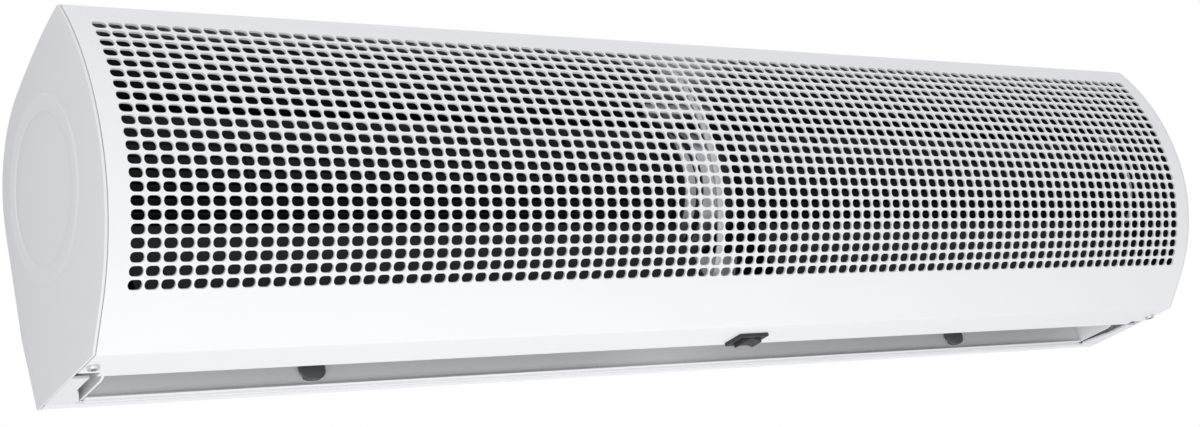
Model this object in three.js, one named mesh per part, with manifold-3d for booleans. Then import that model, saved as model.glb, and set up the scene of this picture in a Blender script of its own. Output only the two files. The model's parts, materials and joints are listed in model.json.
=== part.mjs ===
// Air curtain: a wall-hung fan that blows a sheet of air down across a doorway.
// Two cross-flow wheels on one axis stand in scroll casings, with the motor in a bay between them.
// Air comes in through the perforated front and leaves through the slot in the underside.
//
// Millimetres. X runs along the unit, the room is towards -Y and +Z is up. The origin is the middle of
// the wall plate's rear face. Most pieces are bent sheet, drawn in a section plane of (forward, up):
// forward is the distance from the wall, and up is the height above the underside.

import * as THREE from 'three';
import { mergeVertices } from 'three/addons/utils/BufferGeometryUtils.js';
import Module from 'manifold-3d';

const wasm = await Module();
wasm.setup();

// ---- Driving sizes ----

const LENGTH = 900;              // between the outer faces of the end plates
const HEIGHT = 196;              // underside to the sharp edge at the top of the front
const SHEET = 1.5;               // housing and casing sheet
const END_PLATE = 2;             // end plate thickness
const TAB = 10;                  // inward tabs of an end plate, which the housing sheets lap over
const RING = { outer: 53.6, inner: 44, height: 0.8 };    // stamped ring of an end plate, as radii
const GAP = 0.3;                 // clearance between pieces that touch
const CUT = 1;                   // how far a cutting block runs past the face it opens

// Front curve, measured from its furthest point, the belly.
const BELLY_REACH = 154.5;       // wall to the belly
const BELLY_HEIGHT = 108;        // underside to the belly
const UPPER_RADIUS = 166;        // curve above the belly
const LOWER_RADIUS = 127;        // curve below it
const LOWER_SWEEP = 44;          // degrees that the lower curve turns before it runs straight
const RETURN = 8;                // inward flange on the edge of a front sheet

// Back and top.
const FOOT_STEP = 7;             // the rear foot stands this far forward of the back
const FOOT_HEIGHT = 45;          // height at which the back turns straight
const SHOULDER_DROP = 84;        // top edge down to the start of the rounded shoulder
const SHOULDER_RADIUS = 70;
const SHOULDER_END = 108;        // degrees, where the shoulder meets the top
const TOP_SLOPE = 5;             // degrees that the top still rises at its front edge

// Outlet slot in the underside.
const REAR_LIP = 8.7;            // flange behind the slot
const SLOT_WIDTH = 45;
const HEM = 10;                  // upright edge of the slot's front lip
const RELIEF = { length: 13, depth: 8 };    // lip's corner, cut away beside each end plate

// Perforated field: two rows and five columns of the sheet's small holes open as one window.
const FIELD_CENTRE = -5.7;       // along the front curve from the belly, up is positive
const HOLE_ROWS = 11;
const ROW_PITCH = 15.16;
const HOLE_COLUMNS = 18;
const COLUMN_PITCH = 48.4;
const BAR_HEIGHT = 5.3;          // metal between two rows
const BAR_WIDTH = 6.8;           // metal between two columns
const FIELD_MARGIN = 2;          // plain sheet above and below the field

// Cross-flow wheels and what turns with them.
const AXIS_LIFT = 3;             // axis above the belly
const WHEEL_RADIUS = 46;
const BLADE_DEPTH = 10.5;        // radial depth of a blade
const BLADE_COUNT = 14;
const BLADE_SHEET = 1.2;
const BLADE_LEAN = 9;            // degrees that the outer edge leads the inner edge
const BLADE_CUP = 0.2;           // share of the lean that is reached half way out
const WHEEL_DISC = 2;
const HUB_RADIUS = 10;
const HUB_LENGTH = 12;
const SHAFT_RADIUS = 4;
const WHEEL_END_GAP = 4.3;       // disc to side plate

// Scroll casing round the wheels.
const SCROLL_CLEARANCE = 5.5;    // air space between scroll and back
const SCROLL_GROWTH = 8;         // how far the scroll opens from its start to the back
const WHEEL_GAP = 4;             // wheel to scroll at its start, and to the tongue
const SCROLL_START = 80;         // degrees round the axis, from the front
const SCROLL_KNEE = 14;          // over the vane's pivot, where the scroll turns to the slot
const SCROLL_LEAD = 1;           // scroll's front edge to the sheet in front of it
const TONGUE_ANGLE = -50;        // degrees, where the tongue comes nearest the wheel
const TONGUE_BULGE = { forward: 2, up: 10 };   // how far the tongue bows out of its chord
const CHEEK_INSET = 22.2;        // end face to the outer side plate of the casing
const CHEEK_ROUND = 13;          // rounded corner of a side plate in the slot
const CHEEK_MARGIN = 2;          // side plate outside the wheel's air space
const WALL_FOOT = 2.8;           // scroll foot behind the slot's rear edge

// Motor bay.
const BAY_WIDTH = 60;
const BAY_CLEARANCE = 11;        // motor to the sheet under it
const BAY_BEND = 4;              // under it, where the sheet turns down along the tongue
const MOTOR_RADIUS = 43;
const MOTOR_CAN = 34;            // length of the steel can
const BELL = { depth: 11, inset: 1, rim: 4, shoulder: 7.7, chamfer: 6, boss: 19, nose: 15 };
const CRADLE_WIDTH = 30;
const CRADLE_HEIGHT = 44;        // foot of the cradle on the back, down from the axis
const CRADLE_WEB = 26;           // lower web under the axis
const STRAP_WIDTH = 18;
const STRAP = 1.5;
const STRAP_ANGLE = 122.5;       // degrees, where strap and cradle are screwed together
const STRAP_SPLIT = 0.5;         // degrees from there to either of them
const EAR = 9;                   // length of a strap or cradle ear
const RIB_WIDTH = 8.5;
const RIB_X = -27;               // rib at the bay's left side
const RIB = 2;

// Electrics over the motor.
const TRAY_CLEARANCE = 1.7;      // motor strap to the tray over it
const TRAY_REAR = 50;
const TRAY_DEPTH = 50;
const TRAY_LIP = 7;
const TRAY_ROOM = 2;             // between a lip and what stands on the tray
const CAPACITOR = { width: 38, depth: 20, height: 16, chamfer: 3 };
const TERMINALS = { width: 44, depth: 15, height: 12, ways: 5, pocket: 0.6, slot: 0.5 };

// Bearings in the outer side plates.
const BEARING_RADIUS = 11;
const BEARING_WIDTH = 7;
const BUSH_BODY = 15.7;
const BUSH_FLANGE = 20;
const BUSH_FLANGE_WIDTH = 2.2;

// Guide vane at the back of the slot.
const VANE_PIVOT_HEIGHT = 46;
const VANE_STANDOFF = 5;         // pivot forward of the slot's rear edge
const VANE_FOOT_HEIGHT = 2.5;
const VANE_BARREL = 4.2;         // outer radius of the rolled eye
const VANE_LEAN = 3;             // foot behind the pivot
const VANE_BOW = 5;              // how far back the blade bows
const VANE_HEM = { depth: 2.5, lift: 0.5 };
const PIN_RADIUS = 2.4;
const PIN_LENGTH = 14;
const PIN_HEAD = 3;              // pin outside the casing's side plate

// Finger clips on the vane's lower lip, which tilt it.
const CLIP_INSET = 170;          // end face to a clip's middle
const CLIP_WIDTH = 17;
const CLIP_HEIGHT = 16;
const CLIP = 2;
const CLIP_ROUND = 6;            // its rounded lower corners
const CLIP_SLOPE = 3;            // height of the slope at its top

// Fittings on the underside.
const SWITCH = { x: 23, width: 21, depth: 15, bezel: 2.4, rim: 2, body: 18, wall: 1.6, setback: 5.6 };
const ROCKER = { height: 7, rise: 3, chamfer: 3, room: 0.9 };
const SCREW_HEAD = 3.6;          // radius
const SCREW_CROWN = 2.2;         // radius of the head's flat top
const SCREW_HEAD_HEIGHT = 2.2;
const SCREW_SHANK = 1.7;         // radius
const SCREW_LENGTH = 8;

// Wall plate behind the unit.
const PLATE = 2;
const PLATE_MARGIN = 150;        // end face of the unit to the plate's end
const PLATE_HEIGHT = 52;
const PLATE_LEVEL = 84;          // height of the plate's middle above the underside
const PLATE_HOLE = 3;            // radius
const PLATE_HOLE_INSET = 25;
const HOOK_INSET = 50;           // plate's end to a hook's middle
const HOOK_WIDTH = 20;
const HOOK_LIFT = 8;             // height of the hook's upright lip
const HOOK_ROOM = 4;             // room under a hook, to hang the unit on it
const HOOK = 1.5;

// Cable inlet in the back, beside the wall plate.
const GROMMET = { inset: 120, height: 92, bore: 5, body: 8, flange: 11, lip: 1.4, taper: 2 };

// ---- Values worked out from them ----

const HALF = LENGTH / 2;
const SHEET_END = HALF - END_PLATE - GAP;
const BACK = PLATE + GAP;
const INNER_BACK = BACK + SHEET;
const FOOT = BACK + FOOT_STEP;
const SLOT_REAR = FOOT + REAR_LIP;
const SLOT_FRONT = SLOT_REAR + SLOT_WIDTH;
const SCROLL_START_RADIUS = WHEEL_RADIUS + WHEEL_GAP;
const AXIS = new THREE.Vector2(
  INNER_BACK + SCROLL_CLEARANCE + SHEET + SCROLL_GROWTH + SCROLL_START_RADIUS,
  BELLY_HEIGHT + AXIS_LIFT,
);
const CHEEK_OUTER = HALF - CHEEK_INSET;
const CHEEK_INNER = CHEEK_OUTER - SHEET;
const BAY_HALF = BAY_WIDTH / 2;
const BAY_FLOOR = AXIS.y - MOTOR_RADIUS - BAY_CLEARANCE;
const TRAY_HEIGHT = AXIS.y + MOTOR_RADIUS + GAP + STRAP + TRAY_CLEARANCE;
const PLATE_LENGTH = LENGTH - 2 * PLATE_MARGIN;
const HOOK_SPACING = PLATE_LENGTH - 2 * HOOK_INSET;
const GROMMET_X = HALF - GROMMET.inset;
const CASING_INNER = BAY_HALF + SHEET + GAP;
const CASING_OUTER = CHEEK_INNER - GAP;
const FIELD_HEIGHT = HOLE_ROWS * ROW_PITCH;
const SEAM_TOP = FIELD_CENTRE + FIELD_HEIGHT / 2 + FIELD_MARGIN;
const SEAM_BOTTOM = FIELD_CENTRE - FIELD_HEIGHT / 2 - FIELD_MARGIN;

// ---- Section plane helpers ----

const QUARTER_TURN = 90;
const radians = THREE.MathUtils.degToRad;
const point = (forward, up) => new THREE.Vector2(forward, up);

function polar(centre, radius, degrees) {
  const angle = radians(degrees);
  return point(centre.x + radius * Math.cos(angle), centre.y + radius * Math.sin(angle));
}

function arc(centre, radius, from, to, steps) {
  const points = [];
  for (let i = 0; i <= steps; i += 1) {
    points.push(polar(centre, radius, from + ((to - from) * i) / steps));
  }
  return points;
}

// A point of the front curve: travel is the distance along it from the belly, inset is behind it.
function onFront(travel, inset = 0) {
  const radius = travel > 0 ? UPPER_RADIUS : LOWER_RADIUS;
  const centre = point(BELLY_REACH - radius, BELLY_HEIGHT);
  return polar(centre, radius - inset, THREE.MathUtils.radToDeg(travel / radius));
}

function frontCurve(from, to, steps, inset = 0) {
  const points = [];
  for (let i = 0; i <= steps; i += 1) {
    points.push(onFront(from + ((to - from) * i) / steps, inset));
  }
  return points;
}

// Where the line from p with slope angle a meets the line from q with slope angle b.
function meet(p, a, q, b) {
  const slopeP = Math.tan(radians(a));
  const slopeQ = Math.tan(radians(b));
  const forward = (q.y - p.y + slopeP * p.x - slopeQ * q.x) / (slopeP - slopeQ);
  return point(forward, p.y + slopeP * (forward - p.x));
}

// The same path, moved to its right by a distance, with mitred corners.
function offsetPath(points, distance) {
  return points.map((here, i) => {
    const before = points[Math.max(i - 1, 0)];
    const after = points[Math.min(i + 1, points.length - 1)];
    const arriving = (i > 0 ? here.clone().sub(before) : after.clone().sub(here)).normalize();
    const leaving = (i < points.length - 1 ? after.clone().sub(here) : arriving.clone()).normalize();
    const along = arriving.clone().add(leaving).normalize();
    const reach = distance / along.dot(arriving);
    return point(here.x + along.y * reach, here.y - along.x * reach);
  });
}

// Outline of a bent sheet whose first face follows the path and whose metal lies to the path's right.
function sheetShape(points, thickness) {
  return new THREE.Shape([...points, ...offsetPath(points, thickness).reverse()]);
}

function circleShape(centre, radius, sides) {
  return new THREE.Shape(arc(centre, radius, 0, 360, sides).slice(0, sides));
}

function rectangle(forward, up, depth, height) {
  return new THREE.Shape([
    point(forward, up),
    point(forward + depth, up),
    point(forward + depth, up + height),
    point(forward, up + height),
  ]);
}

// ---- Solids ----

// Extrudes a section along X, from one place to another.
function extrudeX(shape, from, to) {
  const geometry = new THREE.ExtrudeGeometry(shape, { depth: Math.abs(to - from), bevelEnabled: false });
  const basis = new THREE.Matrix4().set(0, 0, -1, Math.max(from, to), -1, 0, 0, 0, 0, 1, 0, 0, 0, 0, 0, 1);
  return geometry.applyMatrix4(basis);
}

// Extrudes a shape of (X, up) forward, from one distance to another.
function extrudeForward(shape, from, to) {
  const geometry = new THREE.ExtrudeGeometry(shape, { depth: to - from, bevelEnabled: false });
  const basis = new THREE.Matrix4().set(1, 0, 0, 0, 0, 0, -1, -from, 0, 1, 0, 0, 0, 0, 0, 1);
  return geometry.applyMatrix4(basis);
}

// Turns a closed profile of (radius, height) round an upright axis.
function revolve(profile, sides) {
  const points = profile.map(([radius, height]) => point(radius, height));
  if (THREE.ShapeUtils.isClockWise(points)) points.reverse();
  points.push(points[0].clone());
  return geometryOf(solid(new THREE.LatheGeometry(points, sides))).rotateX(Math.PI / 2);
}

// Turns a closed profile of (radius, X) round an axis that lies along X.
function turned(profile, centre, sides) {
  return revolve(profile, sides).rotateY(Math.PI / 2).translate(0, -centre.x, centre.y);
}

function block(x, forward, up, width, depth, height) {
  const geometry = new THREE.BoxGeometry(width, depth, height);
  return geometry.translate(x, -(forward + depth / 2), up + height / 2);
}

function solid(geometry) {
  const bare = geometry.clone();
  bare.deleteAttribute('normal');
  bare.deleteAttribute('uv');
  const merged = mergeVertices(bare, 1e-3);
  const corners = [];
  const index = merged.index.array;
  for (let i = 0; i < index.length; i += 3) {
    const [a, b, c] = [index[i], index[i + 1], index[i + 2]];
    if (a !== b && b !== c && c !== a) corners.push(a, b, c);
  }
  return new wasm.Manifold(new wasm.Mesh({
    numProp: 3,
    vertProperties: new Float32Array(merged.attributes.position.array),
    triVerts: new Uint32Array(corners),
  }));
}

function geometryOf(manifold) {
  const mesh = manifold.getMesh();
  const geometry = new THREE.BufferGeometry();
  geometry.setAttribute('position', new THREE.BufferAttribute(mesh.vertProperties, 3));
  geometry.setIndex(new THREE.BufferAttribute(mesh.triVerts, 1));
  return geometry;
}

function join(first, ...rest) {
  return geometryOf(rest.reduce((whole, other) => whole.add(solid(other)), solid(first)));
}

function common(first, second) {
  return geometryOf(solid(first).intersect(solid(second)));
}

function cut(first, ...tools) {
  return geometryOf(tools.reduce((whole, tool) => whole.subtract(solid(tool)), solid(first)));
}

// ---- Finishes ----

const finish = (color, roughness, metalness) => new THREE.MeshStandardMaterial({
  color, roughness, metalness,
});
const WHITE_COAT = finish('#f2f3f4', 0.42, 0.0);
const GREY_COAT = finish('#d6d7d9', 0.45, 0.0);
const GALVANISED = finish('#b9bcbe', 0.4, 0.8);
const WHEEL_COAT = finish('#1c1d1f', 0.5, 0.2);
const BLACK_PAINT = finish('#2c2e31', 0.45, 0.6);
const SHAFT_STEEL = finish('#c4c6c8', 0.25, 1.0);
const BLACK_PLASTIC = finish('#1d1e20', 0.5, 0.0);
const CLIP_PLASTIC = finish('#55585c', 0.5, 0.0);
const RUBBER = finish('#161617', 0.85, 0.0);
const SCREW_STEEL = finish('#c9cbcc', 0.3, 1.0);

const unit = new THREE.Group();
unit.position.z = -PLATE_LEVEL;

function piece(name, geometry, material) {
  const mesh = new THREE.Mesh(geometry, material);
  mesh.name = name;
  unit.add(mesh);
  return mesh;
}

const SIDES = [['left', -1], ['right', 1]];

// ---- Outlines that several pieces share ----

const CORNER_TRAVEL = UPPER_RADIUS * Math.asin((HEIGHT - BELLY_HEIGHT) / UPPER_RADIUS);
const SWEEP_TRAVEL = -LOWER_RADIUS * radians(LOWER_SWEEP);
const BAND_END = onFront(SWEEP_TRAVEL);
const BAND_FOOT = point(BAND_END.x - BAND_END.y * Math.tan(radians(LOWER_SWEEP)), 0);

// From the rear foot up the back, over the shoulder and along the top to the front edge.
function rearCurve() {
  const shoulder = point(BACK + SHOULDER_RADIUS, HEIGHT - SHOULDER_DROP);
  const end = polar(shoulder, SHOULDER_RADIUS, SHOULDER_END);
  const corner = onFront(CORNER_TRAVEL);
  const control = meet(end, SHOULDER_END - QUARTER_TURN, corner, TOP_SLOPE);
  const top = new THREE.QuadraticBezierCurve(end, control, corner);
  return [
    point(FOOT, 0),
    point(BACK, FOOT_HEIGHT),
    ...arc(shoulder, SHOULDER_RADIUS, 180, SHOULDER_END, 9),
    ...top.getPoints(5).slice(1),
  ];
}

// Closed outline of the whole unit, clockwise from the rear foot.
function unitOutline() {
  return [
    ...rearCurve(),
    ...frontCurve(CORNER_TRAVEL, 0, 6).slice(1),
    ...frontCurve(0, SWEEP_TRAVEL, 7).slice(1),
    BAND_FOOT,
  ];
}

// Air side of the tongue, from the slot's front lip up to its nose beside the wheel.
function tongueCurve() {
  const foot = point(SLOT_FRONT, HEM + GAP);
  const nose = polar(AXIS, SCROLL_START_RADIUS, TONGUE_ANGLE);
  const control = point(foot.x + TONGUE_BULGE.forward, (foot.y + nose.y) / 2 + TONGUE_BULGE.up);
  return new THREE.QuadraticBezierCurve(foot, control, nose).getPoints(6);
}

// Air side of the scroll, from over the wheel round the back and down to the slot.
function scrollCurve() {
  const steps = 8;
  const points = [];
  for (let i = 0; i <= steps; i += 1) {
    const share = i / steps;
    const angle = SCROLL_START + (180 - SCROLL_START) * share;
    points.push(polar(AXIS, SCROLL_START_RADIUS + SCROLL_GROWTH * share, angle));
  }
  const rear = points[steps].x;
  const foot = point(SLOT_REAR - WALL_FOOT + SHEET, SHEET + GAP);
  return [...points, point(rear, VANE_PIVOT_HEIGHT + SCROLL_KNEE), foot];
}

// Outline of a casing side plate: slot, tongue, round the front of the wheel, and the scroll.
function cheekOutline() {
  const front = SLOT_FRONT - GAP;
  const low = SHEET + GAP;
  const round = arc(point(front - CHEEK_ROUND, low + CHEEK_ROUND), CHEEK_ROUND, -90, 0, 5);
  const rim = SCROLL_START_RADIUS + CHEEK_MARGIN;
  return [
    ...round,
    ...tongueCurve().slice(1).map((p) => point(p.x - GAP, p.y)),
    ...arc(AXIS, rim, TONGUE_ANGLE + CHEEK_MARGIN, SCROLL_START, 10).slice(0, -1),
    ...scrollCurve(),
  ];
}

// ---- Housing ----

const VANE_PIVOT = point(SLOT_REAR + VANE_STANDOFF, VANE_PIVOT_HEIGHT);

function rearHousing() {
  const path = [
    point(SLOT_REAR, 0),
    ...rearCurve(),
    onFront(SEAM_TOP + GAP / 2),
    onFront(SEAM_TOP + GAP / 2, RETURN),
  ];
  const shell = extrudeX(sheetShape(path, SHEET), -SHEET_END, SHEET_END);
  const slots = [-1, 1].map((side) => {
    const top = PLATE_LEVEL + GAP;
    const drop = HOOK_LIFT + HOOK + HOOK_ROOM;
    const x = (side * HOOK_SPACING) / 2;
    return block(x, BACK - CUT, top - drop, HOOK_WIDTH + 2 * CUT, SHEET + 2 * CUT, drop);
  });
  const inlet = new THREE.CylinderGeometry(GROMMET.body + GAP, GROMMET.body + GAP, 3 * SHEET, 20);
  inlet.translate(GROMMET_X, -(BACK + SHEET / 2), GROMMET.height);
  const screws = topScrewPlaces().map(({ x, forward, up }) => screwHole(x, forward, up));
  return cut(shell, ...slots, inlet, ...screws);
}

function lowerCover() {
  const path = [
    onFront(SEAM_BOTTOM - GAP / 2, RETURN),
    onFront(SEAM_BOTTOM - GAP / 2),
    BAND_END,
    BAND_FOOT,
    point(SLOT_FRONT, 0),
    point(SLOT_FRONT, HEM),
  ];
  const shell = extrudeX(sheetShape(path, SHEET), -SHEET_END, SHEET_END);
  const opening = block(
    SWITCH.x,
    switchRear() - GAP,
    -CUT,
    SWITCH.width + 2 * GAP,
    SWITCH.depth + 2 * GAP,
    SHEET + 2 * CUT,
  );
  const reliefs = [-1, 1].map((side) => block(
    side * (SHEET_END + CUT - RELIEF.length / 2),
    SLOT_FRONT - CUT,
    -CUT,
    RELIEF.length + 2 * CUT,
    RELIEF.depth + CUT,
    HEM + 2 * CUT,
  ));
  const screws = coverScrewPlaces().map(({ x, forward }) => screwHole(x, forward, 0));
  return cut(shell, opening, ...reliefs, ...screws);
}

// The perforated sheet is a grid of cells along the curve and along X, with the windows left open.
function intakeGrille() {
  const top = SEAM_TOP - GAP / 2;
  const bottom = SEAM_BOTTOM + GAP / 2;
  const first = FIELD_CENTRE + FIELD_HEIGHT / 2 - BAR_HEIGHT / 2;
  const travels = [];
  for (let row = 0; row < HOLE_ROWS; row += 1) {
    travels.push(first - row * ROW_PITCH, first - (row + 1) * ROW_PITCH + BAR_HEIGHT);
  }
  const outer = [onFront(top, RETURN), onFront(top), ...travels.map((t) => onFront(t))];
  outer.push(onFront(bottom), onFront(bottom, RETURN));
  const inner = offsetPath(outer, SHEET);
  const xs = [-SHEET_END];
  for (let column = 0; column < HOLE_COLUMNS; column += 1) {
    const left = (column - HOLE_COLUMNS / 2) * COLUMN_PITCH + BAR_WIDTH / 2;
    xs.push(left, left + COLUMN_PITCH - BAR_WIDTH);
  }
  xs.push(SHEET_END);
  const rows = outer.length - 1;
  const columns = xs.length - 1;
  const filled = (r, c) => r >= 0 && c >= 0 && r < rows && c < columns
    && !(r >= 2 && r < rows - 1 && r % 2 === 0 && c % 2 === 1);
  const position = [];
  const corner = (face, r, c) => {
    const p = face[r];
    position.push(xs[c], -p.x, p.y);
  };
  const quad = (a, b, c, d) => {
    [a, b, c, a, c, d].forEach((v) => corner(...v));
  };
  for (let r = 0; r < rows; r += 1) {
    for (let c = 0; c < columns; c += 1) {
      if (!filled(r, c)) continue;
      quad([outer, r, c], [outer, r + 1, c], [outer, r + 1, c + 1], [outer, r, c + 1]);
      quad([inner, r, c], [inner, r, c + 1], [inner, r + 1, c + 1], [inner, r + 1, c]);
      if (!filled(r - 1, c)) quad([outer, r, c], [outer, r, c + 1], [inner, r, c + 1], [inner, r, c]);
      if (!filled(r + 1, c)) {
        quad([outer, r + 1, c + 1], [outer, r + 1, c], [inner, r + 1, c], [inner, r + 1, c + 1]);
      }
      if (!filled(r, c - 1)) quad([outer, r + 1, c], [outer, r, c], [inner, r, c], [inner, r + 1, c]);
      if (!filled(r, c + 1)) {
        quad([outer, r, c + 1], [outer, r + 1, c + 1], [inner, r + 1, c + 1], [inner, r, c + 1]);
      }
    }
  }
  const geometry = new THREE.BufferGeometry();
  geometry.setAttribute('position', new THREE.Float32BufferAttribute(position, 3));
  return mergeVertices(geometry, 1e-3);
}

// Middle of an end plate's tabs, where the screws of the housing sheets go in.
const TAB_MIDDLE = HALF - END_PLATE - TAB / 2;
const FLOOR_TAB = { rear: SLOT_FRONT + RELIEF.depth + SHEET, front: BAND_FOOT.x - RETURN };

function endPlate(side) {
  const outer = side * HALF;
  const inner = side * (HALF - END_PLATE);
  const tabEnd = side * (HALF - END_PLATE - TAB);
  const rooted = side * (HALF - END_PLATE / 2);
  const plate = extrudeX(new THREE.Shape(unitOutline()), inner, outer);
  const ring = turned([
    [RING.inner, rooted],
    [RING.outer, rooted],
    [RING.outer, outer],
    [RING.outer - RING.height, outer + side * RING.height],
    [RING.inner + RING.height, outer + side * RING.height],
    [RING.inner, outer],
  ], AXIS, 24);
  const inset = SHEET + GAP;
  const back = offsetPath(rearCurve(), inset).slice(2, -1);
  const front = frontCurve(SEAM_TOP - RETURN, SEAM_BOTTOM + 2 * RETURN, 10, inset);
  const floor = [point(FLOOR_TAB.front, inset), point(FLOOR_TAB.rear, inset)];
  const sill = [point(SLOT_FRONT - GAP, 0), point(SLOT_REAR + GAP, 0)];
  const tabs = [back, front, floor, sill].map((path) => (
    extrudeX(sheetShape(path, SHEET), tabEnd, rooted)
  ));
  const pilots = [...coverScrewPlaces(), ...topScrewPlaces()].map(({ x, forward, up }) => (
    screwHole(x, forward, up)
  ));
  return cut(join(plate, ring, ...tabs), ...pilots);
}

// ---- Screws ----

function screwHole(x, forward, up) {
  const hole = new THREE.CylinderGeometry(SCREW_SHANK + GAP, SCREW_SHANK + GAP, 6 * SHEET, 10);
  hole.rotateX(Math.PI / 2);
  return hole.translate(x, -forward, up);
}

// A pan head screw that stands on its tip, with its axis upright.
function screw(x, forward, up, upward) {
  const reach = upward * SCREW_LENGTH;
  const head = upward * SCREW_HEAD_HEIGHT;
  const profile = [
    [0, reach],
    [SCREW_SHANK, reach],
    [SCREW_SHANK, 0],
    [SCREW_HEAD, 0],
    [SCREW_HEAD, -head / 2],
    [SCREW_CROWN, -head],
    [0, -head],
  ];
  return revolve(profile, 10).translate(x, -forward, up);
}

function coverScrewPlaces() {
  const forward = (FLOOR_TAB.rear + FLOOR_TAB.front) / 2;
  return [-1, 1].map((side) => ({ x: side * TAB_MIDDLE, forward, up: 0 }));
}

function topScrewPlaces() {
  const [a, b] = rearCurve().slice(-3, -1);
  const lift = (SCREW_HEAD * (b.y - a.y)) / (b.x - a.x) + GAP / 2;
  return [-1, 1].map((side) => ({
    x: side * TAB_MIDDLE, forward: (a.x + b.x) / 2, up: (a.y + b.y) / 2 + lift,
  }));
}

// ---- Casing, motor and wheels ----

function scroll(side) {
  const lead = onFront(SEAM_TOP - GAP / 2, RETURN + GAP);
  return extrudeX(
    sheetShape([point(lead.x - SCROLL_LEAD, lead.y - SHEET), ...scrollCurve()], SHEET),
    side * CASING_INNER,
    side * CASING_OUTER,
  );
}

function tongue(side) {
  const toe = onFront(SEAM_BOTTOM - GAP / 2, RETURN + 2 * GAP);
  return extrudeX(
    sheetShape([...tongueCurve(), point(toe.x, toe.y)], SHEET),
    side * CASING_INNER,
    side * CASING_OUTER,
  );
}

function outerCheek(side) {
  const outline = new THREE.Shape(cheekOutline());
  outline.holes.push(
    circleShape(AXIS, BUSH_BODY + GAP, 16),
    circleShape(VANE_PIVOT, PIN_RADIUS + GAP, 12),
  );
  return extrudeX(outline, side * CHEEK_INNER, side * CHEEK_OUTER);
}

function innerCheek(side) {
  const outline = new THREE.Shape(cheekOutline());
  outline.holes.push(circleShape(AXIS, HUB_RADIUS, 20));
  const plate = extrudeX(outline, side * BAY_HALF, side * (BAY_HALF + SHEET));
  const below = block(side * BAY_HALF, 0, -CUT, 4 * SHEET, BELLY_REACH, BAY_FLOOR + SHEET + CUT);
  return cut(plate, below);
}

function bayFloor() {
  const bend = BAY_FLOOR - BAY_BEND;
  const wall = tongueCurve().filter((p) => p.y < bend);
  const corner = tongueCurve().find((p) => p.y >= bend);
  const path = [...wall, point(corner.x, BAY_FLOOR), point(INNER_BACK + GAP, BAY_FLOOR)];
  return extrudeX(sheetShape(path, SHEET), -BAY_HALF + GAP, BAY_HALF - GAP);
}

// A strip across the return flanges of the front sheets, from the top seam to the bottom one.
function centreRib() {
  const lap = GAP / 2 + SHEET;
  const path = frontCurve(SEAM_TOP + lap, SEAM_BOTTOM - lap, 16, RETURN + GAP);
  return extrudeX(sheetShape(path, RIB), RIB_X - RIB_WIDTH / 2, RIB_X + RIB_WIDTH / 2);
}

function motorCan() {
  const half = MOTOR_CAN / 2;
  const bore = SHAFT_RADIUS + GAP;
  return turned([
    [bore, -half], [MOTOR_RADIUS, -half], [MOTOR_RADIUS, half], [bore, half],
  ], AXIS, 24);
}

function motorBell(side) {
  const bore = SHAFT_RADIUS + GAP;
  const rim = MOTOR_RADIUS - BELL.inset;
  const from = (depth) => side * (MOTOR_CAN / 2 + depth);
  return turned([
    [bore, from(0)],
    [rim, from(0)],
    [rim, from(BELL.rim)],
    [MOTOR_RADIUS - BELL.chamfer, from(BELL.shoulder)],
    [BELL.boss, from(BELL.shoulder)],
    [BELL.nose, from(BELL.depth)],
    [bore, from(BELL.depth)],
  ], AXIS, 18);
}

// A strip between two radii, and a radial ear at each of its ends.
function saddleBand(inner, thickness, from, to, steps, earSide) {
  const band = new THREE.Shape([
    ...arc(AXIS, inner, from, to, steps),
    ...arc(AXIS, inner + thickness, to, from, steps),
  ]);
  const ears = [[from, earSide], [to, -earSide]].map(([angle, lean]) => {
    const root = polar(AXIS, inner + thickness / 2, angle);
    const tip = polar(AXIS, inner + thickness + EAR, angle);
    return sheetShape(lean > 0 ? [root, tip] : [tip, root], thickness);
  });
  return [band, ...ears];
}

function motorStrap() {
  const edge = STRAP_ANGLE - STRAP_SPLIT;
  const shapes = saddleBand(MOTOR_RADIUS + GAP, STRAP, -edge, edge, 26, -1);
  const [band, ...ears] = shapes.map((s) => extrudeX(s, -STRAP_WIDTH / 2, STRAP_WIDTH / 2));
  return join(band, ...ears);
}

function motorCradle() {
  const edge = STRAP_ANGLE + STRAP_SPLIT;
  const shapes = saddleBand(MOTOR_RADIUS + GAP, STRAP, edge, 360 - edge, 14, -1);
  const foot = INNER_BACK + GAP;
  shapes.push(rectangle(foot, AXIS.y - CRADLE_HEIGHT, STRAP, CRADLE_HEIGHT));
  [AXIS.y - STRAP, AXIS.y - CRADLE_WEB].forEach((level) => {
    const down = AXIS.y - level;
    const reach = AXIS.x - Math.sqrt((MOTOR_RADIUS + GAP + STRAP / 2) ** 2 - down ** 2) - foot;
    shapes.push(rectangle(foot, level, reach, STRAP));
  });
  const [band, ...rest] = shapes.map((s) => extrudeX(s, -CRADLE_WIDTH / 2, CRADLE_WIDTH / 2));
  return join(band, ...rest);
}

function wheelBlade(index) {
  const turn = (index * 360) / BLADE_COUNT;
  const inner = WHEEL_RADIUS - BLADE_DEPTH;
  const path = [
    polar(AXIS, inner, turn),
    polar(AXIS, inner + BLADE_DEPTH / 2, turn + BLADE_LEAN * BLADE_CUP),
    polar(AXIS, WHEEL_RADIUS - GAP, turn + BLADE_LEAN),
  ];
  return sheetShape(path, BLADE_SHEET);
}

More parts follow.
